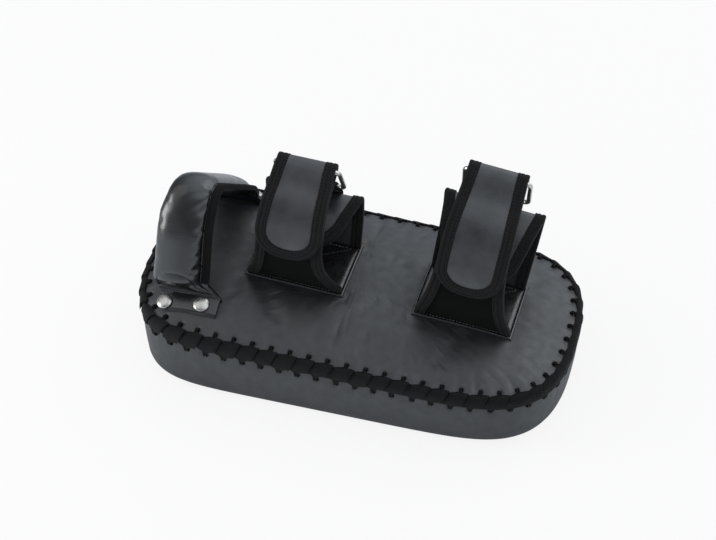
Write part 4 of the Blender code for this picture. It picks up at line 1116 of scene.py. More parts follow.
def fillet(before, here, after, radius):
    before, here, after = (np.array(p, float) for p in (before, here, after))
    back = (before - here) / np.linalg.norm(before - here)
    on = (after - here) / np.linalg.norm(after - here)
    half = math.acos(max(-1.0, min(1.0, float(back @ on)))) / 2
    room = 0.48 * min(np.linalg.norm(before - here), np.linalg.norm(after - here))
    reach = min(radius / math.tan(half), room)
    radius = reach * math.tan(half)
    middle = here + (back + on) / np.linalg.norm(back + on) * radius / math.sin(half)
    start = here + back * reach - middle
    end = here + on * reach - middle
    first = math.atan2(start[1], start[0])
    turn = math.atan2(end[1], end[0]) - first
    turn = (turn + math.pi) % (2 * math.pi) - math.pi
    return middle, radius, first, turn


def arc(middle, radius, first, turn, segments):
    angles = first + turn * np.linspace(0, 1, segments + 1)
    return [(middle[0] + radius * math.cos(a), middle[1] + radius * math.sin(a)) for a in angles]


def rounded(corners, radii, step=6):
    points = [corners[0]]
    for k, radius in enumerate(radii, 1):
        bend = fillet(*corners[k - 1 : k + 2], radius)
        points += arc(*bend, math.ceil(abs(bend[3]) / math.radians(step)))
    return np.array([*points, corners[-1]])


class Profile:
    """A path in (across, up), read by the length along it; side 1 is on its left."""

    def __init__(self, points, side=1, sideways=None):
        self.points = np.array(points, float)
        steps = np.diff(self.points, axis=0)
        lengths = np.linalg.norm(steps, axis=1)
        self.stops = np.concatenate([[0.0], np.cumsum(lengths)])
        self.length = self.stops[-1]
        headings = steps / lengths[:, None]
        means = np.vstack([headings[:1], headings[:-1] + headings[1:], headings[-1:]])
        means /= np.linalg.norm(means, axis=1)[:, None]
        self.normals = side * np.column_stack([-means[:, 1], means[:, 0]])
        self.sideways = np.zeros(len(points)) if sideways is None else sideways

    def at(self, s, out=0.0):
        point, normal = (
            np.array([np.interp(s, self.stops, table[:, k]) for k in (0, 1)])
            for table in (self.points, self.normals)
        )
        return point + normal * out

    def place(self, s, x, out):
        y, z = self.at(s, out)
        return (x + float(np.interp(s, self.stops, self.sideways)), y, z)

    def stations(self, start=0.0, end=None, most=4 * MM, least=0.7 * MM):
        end = self.length if end is None else end
        inner = [s for s in self.stops if start + 1e-4 < s < end - 1e-4]
        marks = [start]
        for s in inner:
            if s - marks[-1] > least:
                marks.append(s)
        marks.append(end)
        filled = [start]
        for first, second in zip(marks, marks[1:]):
            pieces = max(1, math.ceil((second - first) / most))
            filled += [first + (second - first) * k / pieces for k in range(1, pieces + 1)]
        return filled


# Handle


def tab_height(y):
    return back_z(TAB_MIDDLE, y) + GAP + HANDLE_LEATHER + HANDLE_SEAM_GAP


def handle_profile():
    corners = [
        (-TAB_EDGE, tab_height(-TAB_EDGE)),
        (-TAB_BEND, tab_height(-TAB_BEND)),
        *HANDLE_NEAR_LEG,
        HANDLE_TOP,
        HANDLE_FAR_LEG,
        (TAB_BEND, tab_height(TAB_BEND)),
        (TAB_EDGE, tab_height(TAB_EDGE)),
    ]
    return Profile(rounded(corners, [r * MM for r in (7, 40, 60, 17, 30, 9)], step=5))


ARCH_STOPS = (0.12, 0.35, 0.48, 0.88)  # shares of the handle's length, for shifts, widths and crowns


class Handle:
    """Places points of the handle by length along it, across it and out from it."""

    def __init__(self):
        self.profile = handle_profile()
        self.tab = TAB_EDGE - TAB_BEND
        self.length = self.profile.length
        self.blend = 12 * MM

    def from_end(self, s):
        return min(s, self.length - s)

    def on_tab(self, s):
        return unit((self.tab + self.blend - self.from_end(s)) / self.blend)

    def on_arch(self, s, values):
        return float(np.interp(s / self.length, ARCH_STOPS, values))

    def middle(self, s):
        tab = self.on_tab(s)
        return TAB_MIDDLE - self.on_arch(s, HANDLE_SHIFTS) * (1 - tab)

    def half_width(self, s):
        tab = self.on_tab(s)
        return (TAB_WIDTH * tab + self.on_arch(s, HANDLE_WIDTHS) * (1 - tab)) / 2

    def flange(self, s):
        tab = self.on_tab(s)
        return TAB_RIM * tab + HANDLE_FLANGE * (1 - tab)

    def body(self, s):
        """Half the width of the padding, which leaves the rim of a tab free."""
        return self.half_width(s) - self.flange(s) * (self.on_tab(s) == 1.0)

    def trim(self, s):
        into = min(self.from_end(s) / TAB_TRIM_LENGTH, 1.0)
        return TAB_CORNER * (1 - into**0.75)

    def swell(self, s, start, run):
        return math.sin(unit((self.from_end(s) - start) / run) * math.pi / 2)

    def crown(self, s):
        full = self.on_arch(s, (NEAR_CROWN, NEAR_CROWN * 0.65, TOP_CROWN, TOP_CROWN))
        return full * self.swell(s, self.tab + 2 * MM, CROWN_RUN)

    def grip(self, s):
        return GRIP_CROWN * self.swell(s, self.tab + self.blend, 22 * MM)

    def point(self, s, across, out):
        x = self.middle(s) + across
        if self.on_tab(s) == 1.0:
            y = float(self.profile.at(s)[0])
            return (x, y, back_z(x, y) + tab_height(y) - back_z(TAB_MIDDLE, y) + out)
        y, z = self.profile.at(s, out)
        return (x, y, z)


HANDLE_COLUMNS = 38


def bowed(half_width, height):
    """Points (across, up) on half an ellipse."""
    turns = [math.pi * (1 - k / HANDLE_COLUMNS) for k in range(HANDLE_COLUMNS + 1)]
    return [(math.cos(a) * half_width, max(math.sin(a), 0.0) * height) for a in turns]


# Creases of the padding at its bend: the share of the length and the place across it for both
# ends, then width and depth
BEND_CREASES = np.array([
    (0.405, 18, 0.350, 3, 1.7, 1.5),
    (0.422, 18, 0.398, 0, 1.5, 1.2),
    (0.440, 17, 0.455, 2, 1.6, 1.1),
    (0.385, 19, 0.318, 11, 1.6, 1.0),
    (0.462, 17, 0.510, 6, 1.6, 0.8),
    (0.405, -20, 0.365, -10, 1.8, 0.5),
]) * (1, MM, 1, MM, MM, MM)
MIDDLE_DELAY = 10 * MM


def drawn_in(handle, s, across):
    """The padding's ends come in later at its middle than at its corners, as on a pillow."""
    start = handle.tab + 2 * MM
    late = handle.swell(s, start + MIDDLE_DELAY * (1 - across**2), CROWN_RUN)
    return late / max(handle.swell(s, start, CROWN_RUN), 1e-6)


def handle_folds(handle, s, across):
    """Depth of the folds in the padding's leather at a place along and across it."""
    share = s / handle.length
    away = handle.half_width(s) - abs(across)
    turn = 2 * math.pi * s / PUCKER_PITCH + 1.9 * math.sin(s / (11 * MM))
    turn += 2.1 if across > 0 else 0.4
    ease = handle.swell(s, handle.tab + 14 * MM, 16 * MM)
    strength = (1.0 if across > 0 else 0.5) * (0.6 + 0.4 * math.sin(s / (7 * MM) + 1.0))
    depth = strength * PUCKER_DEPTH * max(0.0, math.sin(turn))
    depth *= math.exp(-(((away - 2.5 * MM) / (3.6 * MM)) ** 2)) * ease
    depth *= 1 - unit((share - 0.42) / 0.08)
    here = np.array([s, across])
    for first, x0, last, x1, width, deepest in BEND_CREASES:
        start = np.array([first * handle.length, x0])
        way = np.array([last * handle.length, x1]) - start
        along = float((here - start) @ way / (way @ way))
        off = np.linalg.norm(here - start - unit(along) * way)
        depth += deepest * math.exp(-((off / width) ** 2)) * unit(1.1 - along)
    return depth


def handle_sheets(handle, stations, crown, inset, lift, sign, folded=False):
    """A grid of points over the padding, from one seam to the other."""
    rows = []
    for s in stations:
        half, body, trim = handle.half_width(s), handle.body(s), handle.trim(s)
        curve = bowed(body - inset, crown(s))
        if folded:
            curve = [(p, q * drawn_in(handle, s, p / body)) for p, q in curve]
            curve = [(p, q - min(handle_folds(handle, s, p), 0.8 * q)) for p, q in curve]
        rows.append([handle.point(s, max(p, trim - half), sign * (lift + q)) for p, q in curve])
    return np.array(rows)


def build_handle(leather_material, strip_material, thread, simulate):
    handle = Handle()
    stations = handle.profile.stations(most=2.0 * MM)
    seam, skin = HANDLE_SEAM_GAP, HANDLE_LEATHER
    edges = [handle.body(s) + handle.flange(s) for s in stations]
    arch = np.array([handle.from_end(s) > handle.tab + 3 * MM for s in stations])
    for name, crown, sign, spare, node in (
        ("handle_padding_cover", handle.crown, 1, 0.035, "handle_cover"),
        ("handle_grip_cover", handle.grip, -1, 0.02, "handle_lining"),
    ):
        outer = handle_sheets(handle, stations, crown, 0.0, seam + skin, sign, sign > 0)
        inner = handle_sheets(handle, stations, crown, skin, seam, sign)
        if simulate:
            held = np.zeros(outer.shape[:2])
            held[:, 0] = held[:, -1] = 1
            held[~arch] = 1
            moved = puffed(outer[:, ::sign], held, pressure=2.5, spare=spare, most=1.7 * MM)
            outer = outer + moved[:, ::sign]
        rings = []
        for k, s in enumerate(stations):
            level = [handle.point(s, edges[k], sign * (seam + skin * d)) for d in (0.9, 0.5, 0.1)]
            edge = [handle.point(s, edges[k] - 0.4 * MM, sign * (seam + skin)), *level]
            rings.append(np.vstack([outer[k], edge, inner[k][::-1]]))
        rings = np.array(rings)
        piece = loft(name, rings, leather_material, "pad", [node], smooth=75)
    build_seam_strip(handle, strip_material)
    build_tab_threads(handle, thread)


# The seam strip's section: (distance in from the edge, share of its thickness)
STRIP_FACE = (
    (-0.7, 0.0),
    (-0.6, 0.7),
    (0.0, 1.0),
    (2.2, 1.0),
    (3.0, 0.75),
    (3.5, 0.35),
    (4.0, 0.75),
    (4.8, 1.0),
    (6.0, 0.9),
    (6.5, 0.0),
)


def build_seam_strip(handle, material):
    """The dull tape that binds the flange beside the handle's padding, with a sewn groove."""
    under = HANDLE_SEAM_GAP + HANDLE_LEATHER + 0.05 * MM
    proud = 0.7 * MM
    start = handle.tab + handle.blend + 1 * MM
    marks = [s for s in handle.profile.stations(most=2.5 * MM) if handle.from_end(s) > start]
    rings = []
    for s in marks:
        edge = handle.half_width(s) + handle.flange(s)
        outside = [(edge - inward * MM, under + proud * out) for inward, out in STRIP_FACE]
        below = [(x, -out) for x, out in reversed(outside)]
        slit = [(edge - 6.6 * MM, -under), (edge + 0.05 * MM, -under), (edge + 0.05 * MM, under)]
        rings.append([handle.point(s, x, out) for x, out in (*outside[::-1], *below[::-1], *slit)])
    loft("handle_seam_strip", np.array(rings), material, "pad", smooth=60)


def build_tab_threads(handle, thread):
    """A short row of stitches between the rivets of each tab."""
    room = RIVET_HEAD / 2 + 1 * MM
    y = TAB_EDGE - 2.6 * MM
    for row, side in (("near", -1), ("far", 1)):
        path = []
        for x in np.linspace(RIVET_OUTER[0] + room, RIVET_INNER[0] - room, 12):
            lift = tab_height(y) - back_z(TAB_MIDDLE, y) + HANDLE_SEAM_GAP + HANDLE_LEATHER
            path.append((x, side * y, float(back_z(x, side * y) + lift)))
        normals = [tuple(back_normal(p[0], p[1])) for p in path]
        stitches(f"{row}_tab_thread", path, normals, thread, "pad", radius=0.35 * MM)


# Stitches

STITCH_PITCH = 3.0 * MM
STITCH_LENGTH = 2.1 * MM
STITCH_SIDES = 6
# One stitch, end to end: place along it in half lengths, thickness and lift in radii
STITCH = ((-1.0, 0.25, -0.5), (-0.8, 0.8, 0.1), (0.0, 1.0, 0.5), (0.8, 0.8, 0.1), (1.0, 0.25, -0.5))


def stitches(name, points, normals, material, body, radius=0.32 * MM):
    """A row of threads along a path, each sunk a little at its two ends."""
    points = np.asarray(points, float)
    normals = np.asarray(normals, float)
    distance = lengths_along(points)
    count = max(2, int(distance[-1] / STITCH_PITCH))
    one = loft_faces(len(STITCH), STITCH_SIDES)
    all_points, all_faces = [], []
    for k in range(count):
        s = distance[-1] * (k + 0.5) / count
        here, ahead, back, normal = (
            np.array([np.interp(t, distance, table[:, axis]) for axis in range(3)])
            for t, table in ((s, points), (s + 0.5 * MM, points), (s - 0.5 * MM, points), (s, normals))
        )
        way = (ahead - back) / (np.linalg.norm(ahead - back) + 1e-12)
        normal = normal / np.linalg.norm(normal)
        side = np.cross(way, normal)
        all_faces += [tuple(len(all_points) + corner for corner in face) for face in one]
        for along, size, lift in STITCH:
            middle = here + way * along * STITCH_LENGTH / 2 + normal * lift * radius
            for turn in range(STITCH_SIDES):
                angle = 2 * math.pi * turn / STITCH_SIDES
                out = side * math.cos(angle) + normal * math.sin(angle)
                all_points.append(middle + out * radius * size)
    add_piece(name, all_points, all_faces, material, body)


# Rivets


def lathe_rings(profile, sides):
    rings = []
    for side in range(sides):
        angle = 2 * math.pi * side / sides
        rings.append([(r * math.cos(angle), r * math.sin(angle), h) for r, h in profile])
    return np.array(rings)


def build_rivets(material):
    seat = 2 * (GAP + HANDLE_LEATHER) + GAP
    head = RIVET_HEAD / 2
    profile = [(0.02 * MM, seat + RIVET_DOME)]
    for degrees in np.linspace(6, 90, 15):
        a = math.radians(degrees)
        profile.append((head * math.sin(a), seat + RIVET_DOME * (0.25 + 0.75 * math.cos(a) ** 0.9)))
    profile += [(head, seat + 0.25 * MM), (head - 0.3 * MM, seat), (0.02 * MM, seat)]
    sides = 40
    for row, side in (("near", -1), ("far", 1)):
        for place, (x, row_y) in (("outer", RIVET_OUTER), ("inner", RIVET_INNER)):
            y = side * row_y
            turn = back_normal(x, y).to_track_quat("Z", "Y").to_matrix()
            rings = lathe_rings(profile, sides).reshape(-1, 3)
            dents = 0.05 * MM * ruffle(rings + np.array([x, y, 0]), 130, 1.3)
            rings[:, 2] += dents * (rings[:, 2] > seat + 0.4 * MM)
            points = rings @ np.array(turn).T + np.array([x, y, float(back_z(x, y))])
            faces = loft_faces(sides, len(profile), closed=True)
            stem = f"{row}_{place}"
            add_piece(f"{stem}_rivet_cap", points, faces, material, "pad", [f"{stem}_rivet"])


# Straps

TIP_ROUNDNESS = 2.2


def tip_width(s, length, tip):
    into = min(max((s - (length - tip)) / tip, 0.0), 0.995)
    return (1 - into**TIP_ROUNDNESS) ** (1 / TIP_ROUNDNESS)


def to_tip(profile, tip):
    """Stations along a strip, closer together towards its round end."""
    start = profile.length - tip
    marks = profile.stations(0.0, start)
    return marks + [start + tip * math.sin(a) for a in np.radians(np.linspace(9, 87, 11))]


def tangent_angle(first, first_radius, second, second_radius):
    way = np.array(second) - np.array(first)
    turn = math.acos((first_radius - second_radius) / np.linalg.norm(way))
    return math.atan2(way[1], way[0]) - turn


class Strap:
    """One forearm strap: its frame, side profiles and widths."""

    def __init__(self, name, shape):
        self.name = name
        self.shape = shape
        self.origin = np.array([shape.x, 0.0, float(back_z(shape.x, 0.0)) + GAP + PATCH_LEATHER])
        c, s = math.cos(shape.lean), math.sin(shape.lean)
        self.turn = np.array([[c, 0, s], [0, 1, 0], [-s, 0, c]])
        self.fold_radius = WIRE / 2 + GAP + RING_PLAY + WING_PANEL / 2
        near = self.near_points()
        self.near = Profile(near, 1, [self.sway(z) for _, z in near])
        self.fold_start = self.near.length - self.fold_length
        far = self.far_points()
        self.horizon = self.far_horizon(Profile(far))
        self.far = Profile(far, -1, self.far_sideways(Profile(far)))

    def world(self, points):
        return np.asarray(points, float) @ self.turn.T + self.origin

    def seated(self, points):
        """World points of a wing's foot, dropped to just above the base patch."""
        world = self.world(points)
        world[:, 2] = back_z(world[:, 0], world[:, 1]) + 2.8 * GAP + PATCH_LEATHER
        return world

    def sway(self, z):
        return -self.shape.sway * math.sin(math.pi * unit(z / self.shape.bar[1]))

    def near_points(self):
        last = np.array(self.shape.near[-1])
        bar = np.array(self.shape.bar)
        gap = bar - last
        reach = np.linalg.norm(gap)
        heading = math.atan2(gap[1], gap[0]) - math.asin(self.fold_radius / reach)
        run = math.sqrt(reach**2 - self.fold_radius**2)
        touch = last + run * np.array([math.cos(heading), math.sin(heading)])
        corners = [(WING_FOOT_NEAR, 0.0), *self.shape.near, tuple(touch)]
        rise = rounded(corners, [60 * MM, 70 * MM, 50 * MM])
        fold = arc(bar, self.fold_radius, heading - math.pi / 2, math.pi, 24)
        back = (math.cos(heading), math.sin(heading))
        tail = [(fold[-1][0] - back[0] * MM, fold[-1][1] - back[1] * MM)]
        self.fold_length = self.fold_radius * math.pi + MM
        return np.vstack([rise, fold[1:], tail])

    def far_points(self):
        corners = [(WING_FOOT_FAR, 0.0), *self.shape.far, *self.shape.flap]
        self.bend = fillet(*corners[1:4], HORIZON_RADIUS)
        return rounded(corners, [80 * MM, HORIZON_RADIUS, 40 * MM])

    def far_horizon(self, profile):
        stops = np.linspace(0, profile.length, 400)
        return float(max(stops, key=lambda s: profile.at(s)[1]))

    def far_sideways(self, profile):
        share = profile.stops / self.horizon
        rest = (profile.length - profile.stops) / (profile.length - self.horizon)
        return self.shape.horizon[1] * np.minimum(share, rest)

    def near_width(self, s):
        share = unit((s - 3 * MM) / (self.shape.shoulder * 1.6))
        slim = self.strap_width(self.near.length - s)
        return slim + (WING_WIDTH / 2 - slim) * (1 - share) ** 2

    def strap_width(self, from_fold):
        share = unit((from_fold - self.fold_length) / (60 * MM))
        return (FOLD_WIDTH + (STRAP_WIDTH - FOLD_WIDTH) * share) / 2

    def far_width(self, s):
        foot, flap = WING_WIDTH / 2, self.shape.flap_width / 2
        horizon = self.shape.horizon[0] / 2
        if s <= self.horizon:
            return foot + (horizon - foot) * s / self.horizon
        share = (s - self.horizon) / (self.far.length - self.horizon)
        return (horizon + (flap - horizon) * share) * tip_width(s, self.far.length, FLAP_TIP)


CALM_RUN = 15 * MM


class Placed:
    """A strip's profile with its place in the world and the folds in its leather."""

    def __init__(self, strap, profile, wave, seed=0.0, seat=False, calm=(0.0, None)):
        self.strap = strap
        self.profile = profile
        self.wave = wave
        self.seed = seed
        self.seat = seat
        self.calm = calm

    def sway(self, s, x):
        """Soft folds that the whole strip shares, none outside its calm ends."""
        first, last = self.calm
        ease = unit((s - first) / CALM_RUN)
        if last is not None:
            ease *= unit((last - s) / CALM_RUN)
        return self.wave * ease * noise.noise(Vector((s * 34, x * 22, self.seed)))

    def ring(self, s, section):
        """World points of a section, given as (x, out) pairs, at this length."""
        local = [self.profile.place(s, x, out + self.sway(s, x)) for x, out in section]
        if self.seat and s == 0.0:
            return self.strap.seated(local)
        return self.strap.world(local)


def panel(name, placed, stations, half_width, low, high, material, body, nodes=(), columns=15):
    """A strip with round edges."""
    u = np.sin(np.linspace(-math.pi / 2, math.pi / 2, columns))
    half, middle = (high - low) / 2, (high + low) / 2
    edge = np.sqrt(1 - np.minimum(np.abs(u), 1.0) ** 14)
    rings = []
    for s in stations:
        width = half_width(s)
        top = [(width * a, middle + half * e) for a, e in zip(u, edge)]
        bottom = [(width * a, middle - half * e) for a, e in zip(u, edge)]
        rings.append(placed.ring(s, top[:-1] + bottom[:0:-1]))
    return loft(name, np.array(rings), material, body, nodes, smooth=60)


# A binding's face: (distance from the strip's edge, share of its thickness above the panel)
BINDING_FACE = (
    (-9.0, 0.15),
    (-8.7, 0.8),
    (-8.0, 1.1),
    (-7.5, 1.0),
    (-6.9, 0.25),
    (-6.3, 1.0),
    (-5.6, 1.15),
    (-4.6, 1.15),
    (-3.7, 1.0),
    (-3.0, 0.2),
    (-2.3, 1.05),
    (-1.2, 1.25),
    (0.0, 1.15),
    (0.8, 0.75),
    (1.2, 0.1),
)
STITCH_LINES = (-6.9 * MM, -3.0 * MM)
SLIM = 0.36  # how thin the webbing is drawn round the bar
SLIM_RUN = 3 * MM


def edge_frames(edge):
    edge = np.array(edge)
    headings = np.gradient(edge, axis=0)
    headings /= np.linalg.norm(headings, axis=1)[:, None]
    return edge, headings


def on_edge(edge, headings, k, out):
    (s, x), (run, sideways) = edge[k], headings[k]
    square = k in (0, len(edge) - 1) or abs(sideways) < 0.35
    if square:
        return s, x + math.copysign(1, x) * out
    return s - sideways * out, x + run * out


def binding(name, placed, edge, m, body, nodes, slim=1.0):
    """Webbing folded over a strip's edge, with two sewn grooves on each face.

    Past the length slim it is drawn thin and has no stitches."""
    slot_half = WING_PANEL / 2 + 0.1 * MM
    deep, shallow = -8.9 * MM, 0.15 * MM
    inside = [(deep, -slot_half), (shallow, -slot_half), (shallow, slot_half), (deep, slot_half)]
    edge, headings = edge_frames(edge)
    rings = []
    for k, (along, _) in enumerate(edge):
        drawn = float(np.interp(along, (slim - SLIM_RUN, slim), (1.0, SLIM)))
        thick = (BINDING + 0.3 * MM) * drawn
        section = [(out * MM, slot_half + thick * share) for out, share in BINDING_FACE]
        under = [(out, -high) for out, high in reversed(section)]
        foot = placed.seat and along == 0.0
        ring = []
        for out, high in (*section, *under, *inside):
            s, x = on_edge(edge, headings, k, out)
            ring.append(placed.ring(0.0 if foot else max(s, 0.05 * MM), [(x, high)])[0])
        rings.append(ring)
    loft(name, np.array(rings), m["webbing"], body, nodes, smooth=70)
    for row, out in enumerate(STITCH_LINES, 1):
        for face, sign in (("outer", 1), ("inner", -1)):
            path, normals = [], []
            for k in range(1, len(edge) - 1):
                if edge[k][0] > slim - SLIM_RUN:
                    continue
                s, x = on_edge(edge, headings, k, out)
                seat = sign * (slot_half + 0.72 * MM)
                base, top = placed.ring(max(s, 0.1 * MM), [(x, 0.0), (x, seat)])
                path.append(top)
                normals.append(top - base)
            label = f"{name}_{face}_thread_{row}"
            stitches(label, path, normals, m["thread"], body)


def strip_edge(stations, half_width):
    right = [(s, half_width(s)) for s in stations]
    left = [(s, -half_width(s)) for s in reversed(stations)]
    return right + left


def patch_surface(x, y, lift):
    return np.array([x, y, float(back_z(x, y)) + lift])


# Rows of points at the patch's rim and seam, inwards from its edge
PATCH_MARKS = np.array([0, 0.15, 0.5, 1.0, 1.6, 2.2, 2.8, 3.2, 3.6, 4.4]) * MM
PATCH_SEAM = 3.2 * MM


def build_patch(strap, material, thread):
    """The sewn leather patch, with a rolled rim and a sunken seam inside it."""
    x0, x1 = strap.shape.x - PATCH_LENGTH / 2, strap.shape.x + PATCH_LENGTH / 2

    def line(low, high):
        inner = np.linspace(low + 7 * MM, high - 7 * MM, 18)
        return np.concatenate([low + PATCH_MARKS, inner, high - PATCH_MARKS[::-1]])

    xs, ys = line(x0, x1), line(PATCH_NEAR, PATCH_FAR)
    top, bottom = [], []
    for y in ys:
        for x in xs:
            edge = min(x - x0, x1 - x, y - PATCH_NEAR, PATCH_FAR - y)
            roll = math.sqrt(max(0.0, 1 - (1 - min(edge / (1.1 * MM), 1.0)) ** 2))
            bead = 0.35 * MM * math.exp(-(((edge - 1.3 * MM) / (1.0 * MM)) ** 2))
            sunk = 0.45 * MM * math.exp(-(((edge - PATCH_SEAM) / (0.7 * MM)) ** 2))
            lift = GAP + PATCH_LEATHER * (0.35 + 0.65 * roll) + bead - sunk
            top.append(patch_surface(x, y, lift))
            bottom.append(patch_surface(x, y, GAP))
    layer = len(top)
    faces = grid_faces(len(ys), len(xs))
    faces += [tuple(corner + layer for corner in face) for face in faces]
    index = np.arange(layer).reshape(len(ys), len(xs))
    rim = np.concatenate([index[0], index[1:, -1], index[-1, -2::-1], index[-2:0:-1, 0]]).tolist()
    for corner, after in zip(rim, rim[1:] + rim[:1]):
        faces.append((corner, after, after + layer, corner + layer))
    name = strap.name
    nodes = [f"{name}_base_patch"]
    add_piece(f"{name}_patch_leather", top + bottom, faces, material, "pad", nodes)
    left, right = x0 + PATCH_SEAM, x1 - PATCH_SEAM
    near, far = PATCH_NEAR + PATCH_SEAM, PATCH_FAR - PATCH_SEAM
    corners = [(left, near), (right, near), (right, far), (left, far)]
    runs = {f"edge_{k + 1}": (corners[k], corners[(k + 1) % 4]) for k in range(4)}
    left, right = x0 + 9 * MM, x1 - 9 * MM
    near, far = WING_FOOT_NEAR + 5 * MM, WING_FOOT_FAR - 7 * MM
    runs["far_foot"] = ((left, WING_FOOT_FAR - 6 * MM), (right, WING_FOOT_FAR - 6 * MM))
    runs["cross_1"] = ((left, near), (right, far))
    runs["cross_2"] = ((right, near), (left, far))
    for label, (start, end) in runs.items():
        sunk = 0.25 * MM if label.startswith("edge") else -0.05 * MM
        path = []
        for t in np.linspace(0, 1, 40):
            x, y = np.array(start) * (1 - t) + np.array(end) * t
            path.append(patch_surface(x, y, GAP + PATCH_LEATHER - sunk))
        normals = [tuple(back_normal(p[0], p[1])) for p in path]
        label = f"{name}_patch_thread_{label}"
        stitches(label, path, normals, thread, "pad", radius=0.38 * MM)


CLOTH_END = 5 * MM  # how far below the fold the cloth ends and the tongue's leather begins
BEND_BEFORE = 1.5 * MM  # a point this far before the joint is worked out by build_tongue, and nothing uses it
BEND_AFTER = 3.5 * MM


def tape_half(s):
    return TAPE_WIDTH / 2


def build_near_wing(strap, m):
    half = WING_PANEL / 2
    name = strap.name
    fold = strap.fold_start
    near = Placed(strap, strap.near, 0.8 * MM, 3.0 + strap.shape.x, seat=True, calm=(0.0, fold))
    marks = strap.near.stations(end=fold - CLOTH_END)
    panel(
        f"{name}_near_wing_cloth", near, marks, strap.near_width, -half, half,
        m["pile"], "pad", [f"{name}_near_wing"],
    )
    for side, sign in (("left", -1), ("right", 1)):
        edge = [(s, sign * strap.near_width(s)) for s in strap.near.stations()]
        nodes = [f"{name}_near_binding_{side}"]
        binding(f"{name}_near_webbing_{side}", near, edge[::sign], m, "pad", nodes, fold)
    low = half + 0.3 * MM
    marks = strap.near.stations(strap.shape.tip_at + 4 * MM, fold - 14 * MM)
    panel(
        f"{name}_loop_pile", near, marks, tape_half, low, low + TOUCH_TAPE,
        m["pile"], "pad", [f"{name}_loop_tape"],
    )


CLOSING_RUN = 30 * MM


def tongue_points(strap):
    """The tongue's points, their shifts sideways, and the length at which it leaves the fold."""
    bound = WING_PANEL / 2 + BINDING_SLACK + BINDING
    close = 2 * bound + 2 * GAP
    wide = 2 * strap.fold_radius
    near = strap.near
    back = near.points[-1] - near.points[-2]
    back /= np.linalg.norm(back)
    first = strap.fold_start - CLOTH_END + 0.1 * MM
    over = [near.at(first), *(p for p, s in zip(near.points, near.stops) if s > first + 0.5 * MM)]
    points = [*over, near.points[-1] + back * 2.5 * MM]
    sideways = [strap.sway(p[1]) for p in points]
    lap = lengths_along(np.array(over))[-1]
    end = strap.fold_start
    for s in reversed(near.stations(strap.shape.tip_at, end - 6 * MM, 3 * MM)):
        share = min((end - s) / CLOSING_RUN, 1.0)
        ease = share * share * (3 - 2 * share)
        points.append(near.at(s, wide + (close - wide) * ease))
        sideways.append(float(np.interp(s, near.stops, near.sideways)))
    return np.array(points), sideways, lap


def build_tongue(strap, m):
    half = WING_PANEL / 2
    points, sideways, lap = tongue_points(strap)
    path = Profile(points, 1, sideways)
    placed = Placed(strap, path, 0.9 * MM, 9.0 + strap.shape.x, calm=(lap, None))
    length = path.length
    stations = to_tip(path, TONGUE_TIP)
    name = strap.name
    body = f"{name}_tongue"

    def width(s):
        return strap.strap_width(s - lap + strap.fold_length) * tip_width(s, length, TONGUE_TIP)

    leather_piece = panel(
        f"{name}_tongue_leather", placed, stations, width, -half, half,
        m["face"], None, [f"{name}_tongue"], columns=21,
    )
    joint, ahead = (placed.ring(lap + along, [(0.0, 0.0)])[0] for along in (0.0, 4 * MM))
    under = placed.ring(lap, [(0.0, half)])[0] - joint
    across = (ahead - joint) / np.linalg.norm(ahead - joint) - under / np.linalg.norm(under)
    across /= np.linalg.norm(across)
    start, end = joint - BEND_BEFORE * across, joint + BEND_AFTER * across
    tuple(start)
    tuple(end)
    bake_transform(leather_piece)
    bound = [lap + 0.6 * MM, *(s for s in stations if s > lap + 1.4 * MM)]
    edge = strip_edge(bound, width)
    binding(f"{name}_tongue_webbing", placed, edge, m, body, [f"{name}_tongue_binding"])
    marks = path.stations(lap + 40 * MM, length - BINDING_WIDTH - 12 * MM)
    panel(
        f"{name}_hook_strip", placed, marks, tape_half, half + GAP, half + GAP + TOUCH_TAPE,
        m["hooks"], body, [f"{name}_hook_tape"],
    )


def build_far_wing(strap, m):
    half = WING_PANEL / 2
    name = strap.name
    placed = Placed(strap, strap.far, 0.8 * MM, 15.0 + strap.shape.x, seat=True)
    stations = to_tip(strap.far, FLAP_TIP)
    panel(
        f"{name}_far_wing_leather", placed, stations, strap.far_width, -half, half,
        m["face"], "pad", [f"{name}_far_wing"],
    )
    edge = strip_edge(stations, strap.far_width)
    binding(f"{name}_far_webbing", placed, edge, m, "pad", [f"{name}_far_binding"])


def ring_ends(strap):
    upper = np.array(strap.shape.bar)
    root = strap.far.at(strap.horizon, WING_PANEL / 2)
    heading = (root - upper) / np.linalg.norm(root - upper)
    return upper, upper + heading * RING_LENGTH


def build_ring(strap, material):
    """A bent wire rectangle with round corners."""
    upper, lower = ring_ends(strap)
    up = (upper - lower) / RING_LENGTH
    half = RING_INSIDE / 2 + WIRE / 2
    corner = RING_CORNER
    middles = [
        (half - corner, corner, -90),
        (half - corner, RING_LENGTH - corner, 0),
        (-half + corner, RING_LENGTH - corner, 90),
        (-half + corner, corner, 180),
    ]
    path = []
    for x, h, first in middles:
        for step in range(9):
            angle = math.radians(first + 90 * step / 8)
            path.append((x + corner * math.cos(angle), h + corner * math.sin(angle), angle))
    sides = 20
    rings = []
    for px, ph, angle in path:
        ring = []
        for side in range(sides):
            turn = 2 * math.pi * side / sides
            proud = math.sin(turn) * WIRE / 2
            out = math.cos(turn) * WIRE / 2
            x, h = px + out * math.cos(angle), ph + out * math.sin(angle)
            ring.append((x, up[0] * h + up[1] * proud, up[1] * h - up[0] * proud))
        rings.append(strap.world(np.array(ring) + np.array([0, *lower])))
    name = strap.name
    loft(f"{name}_ring_wire", rings, material, f"{name}_ring", [f"{name}_ring"], closed=True)


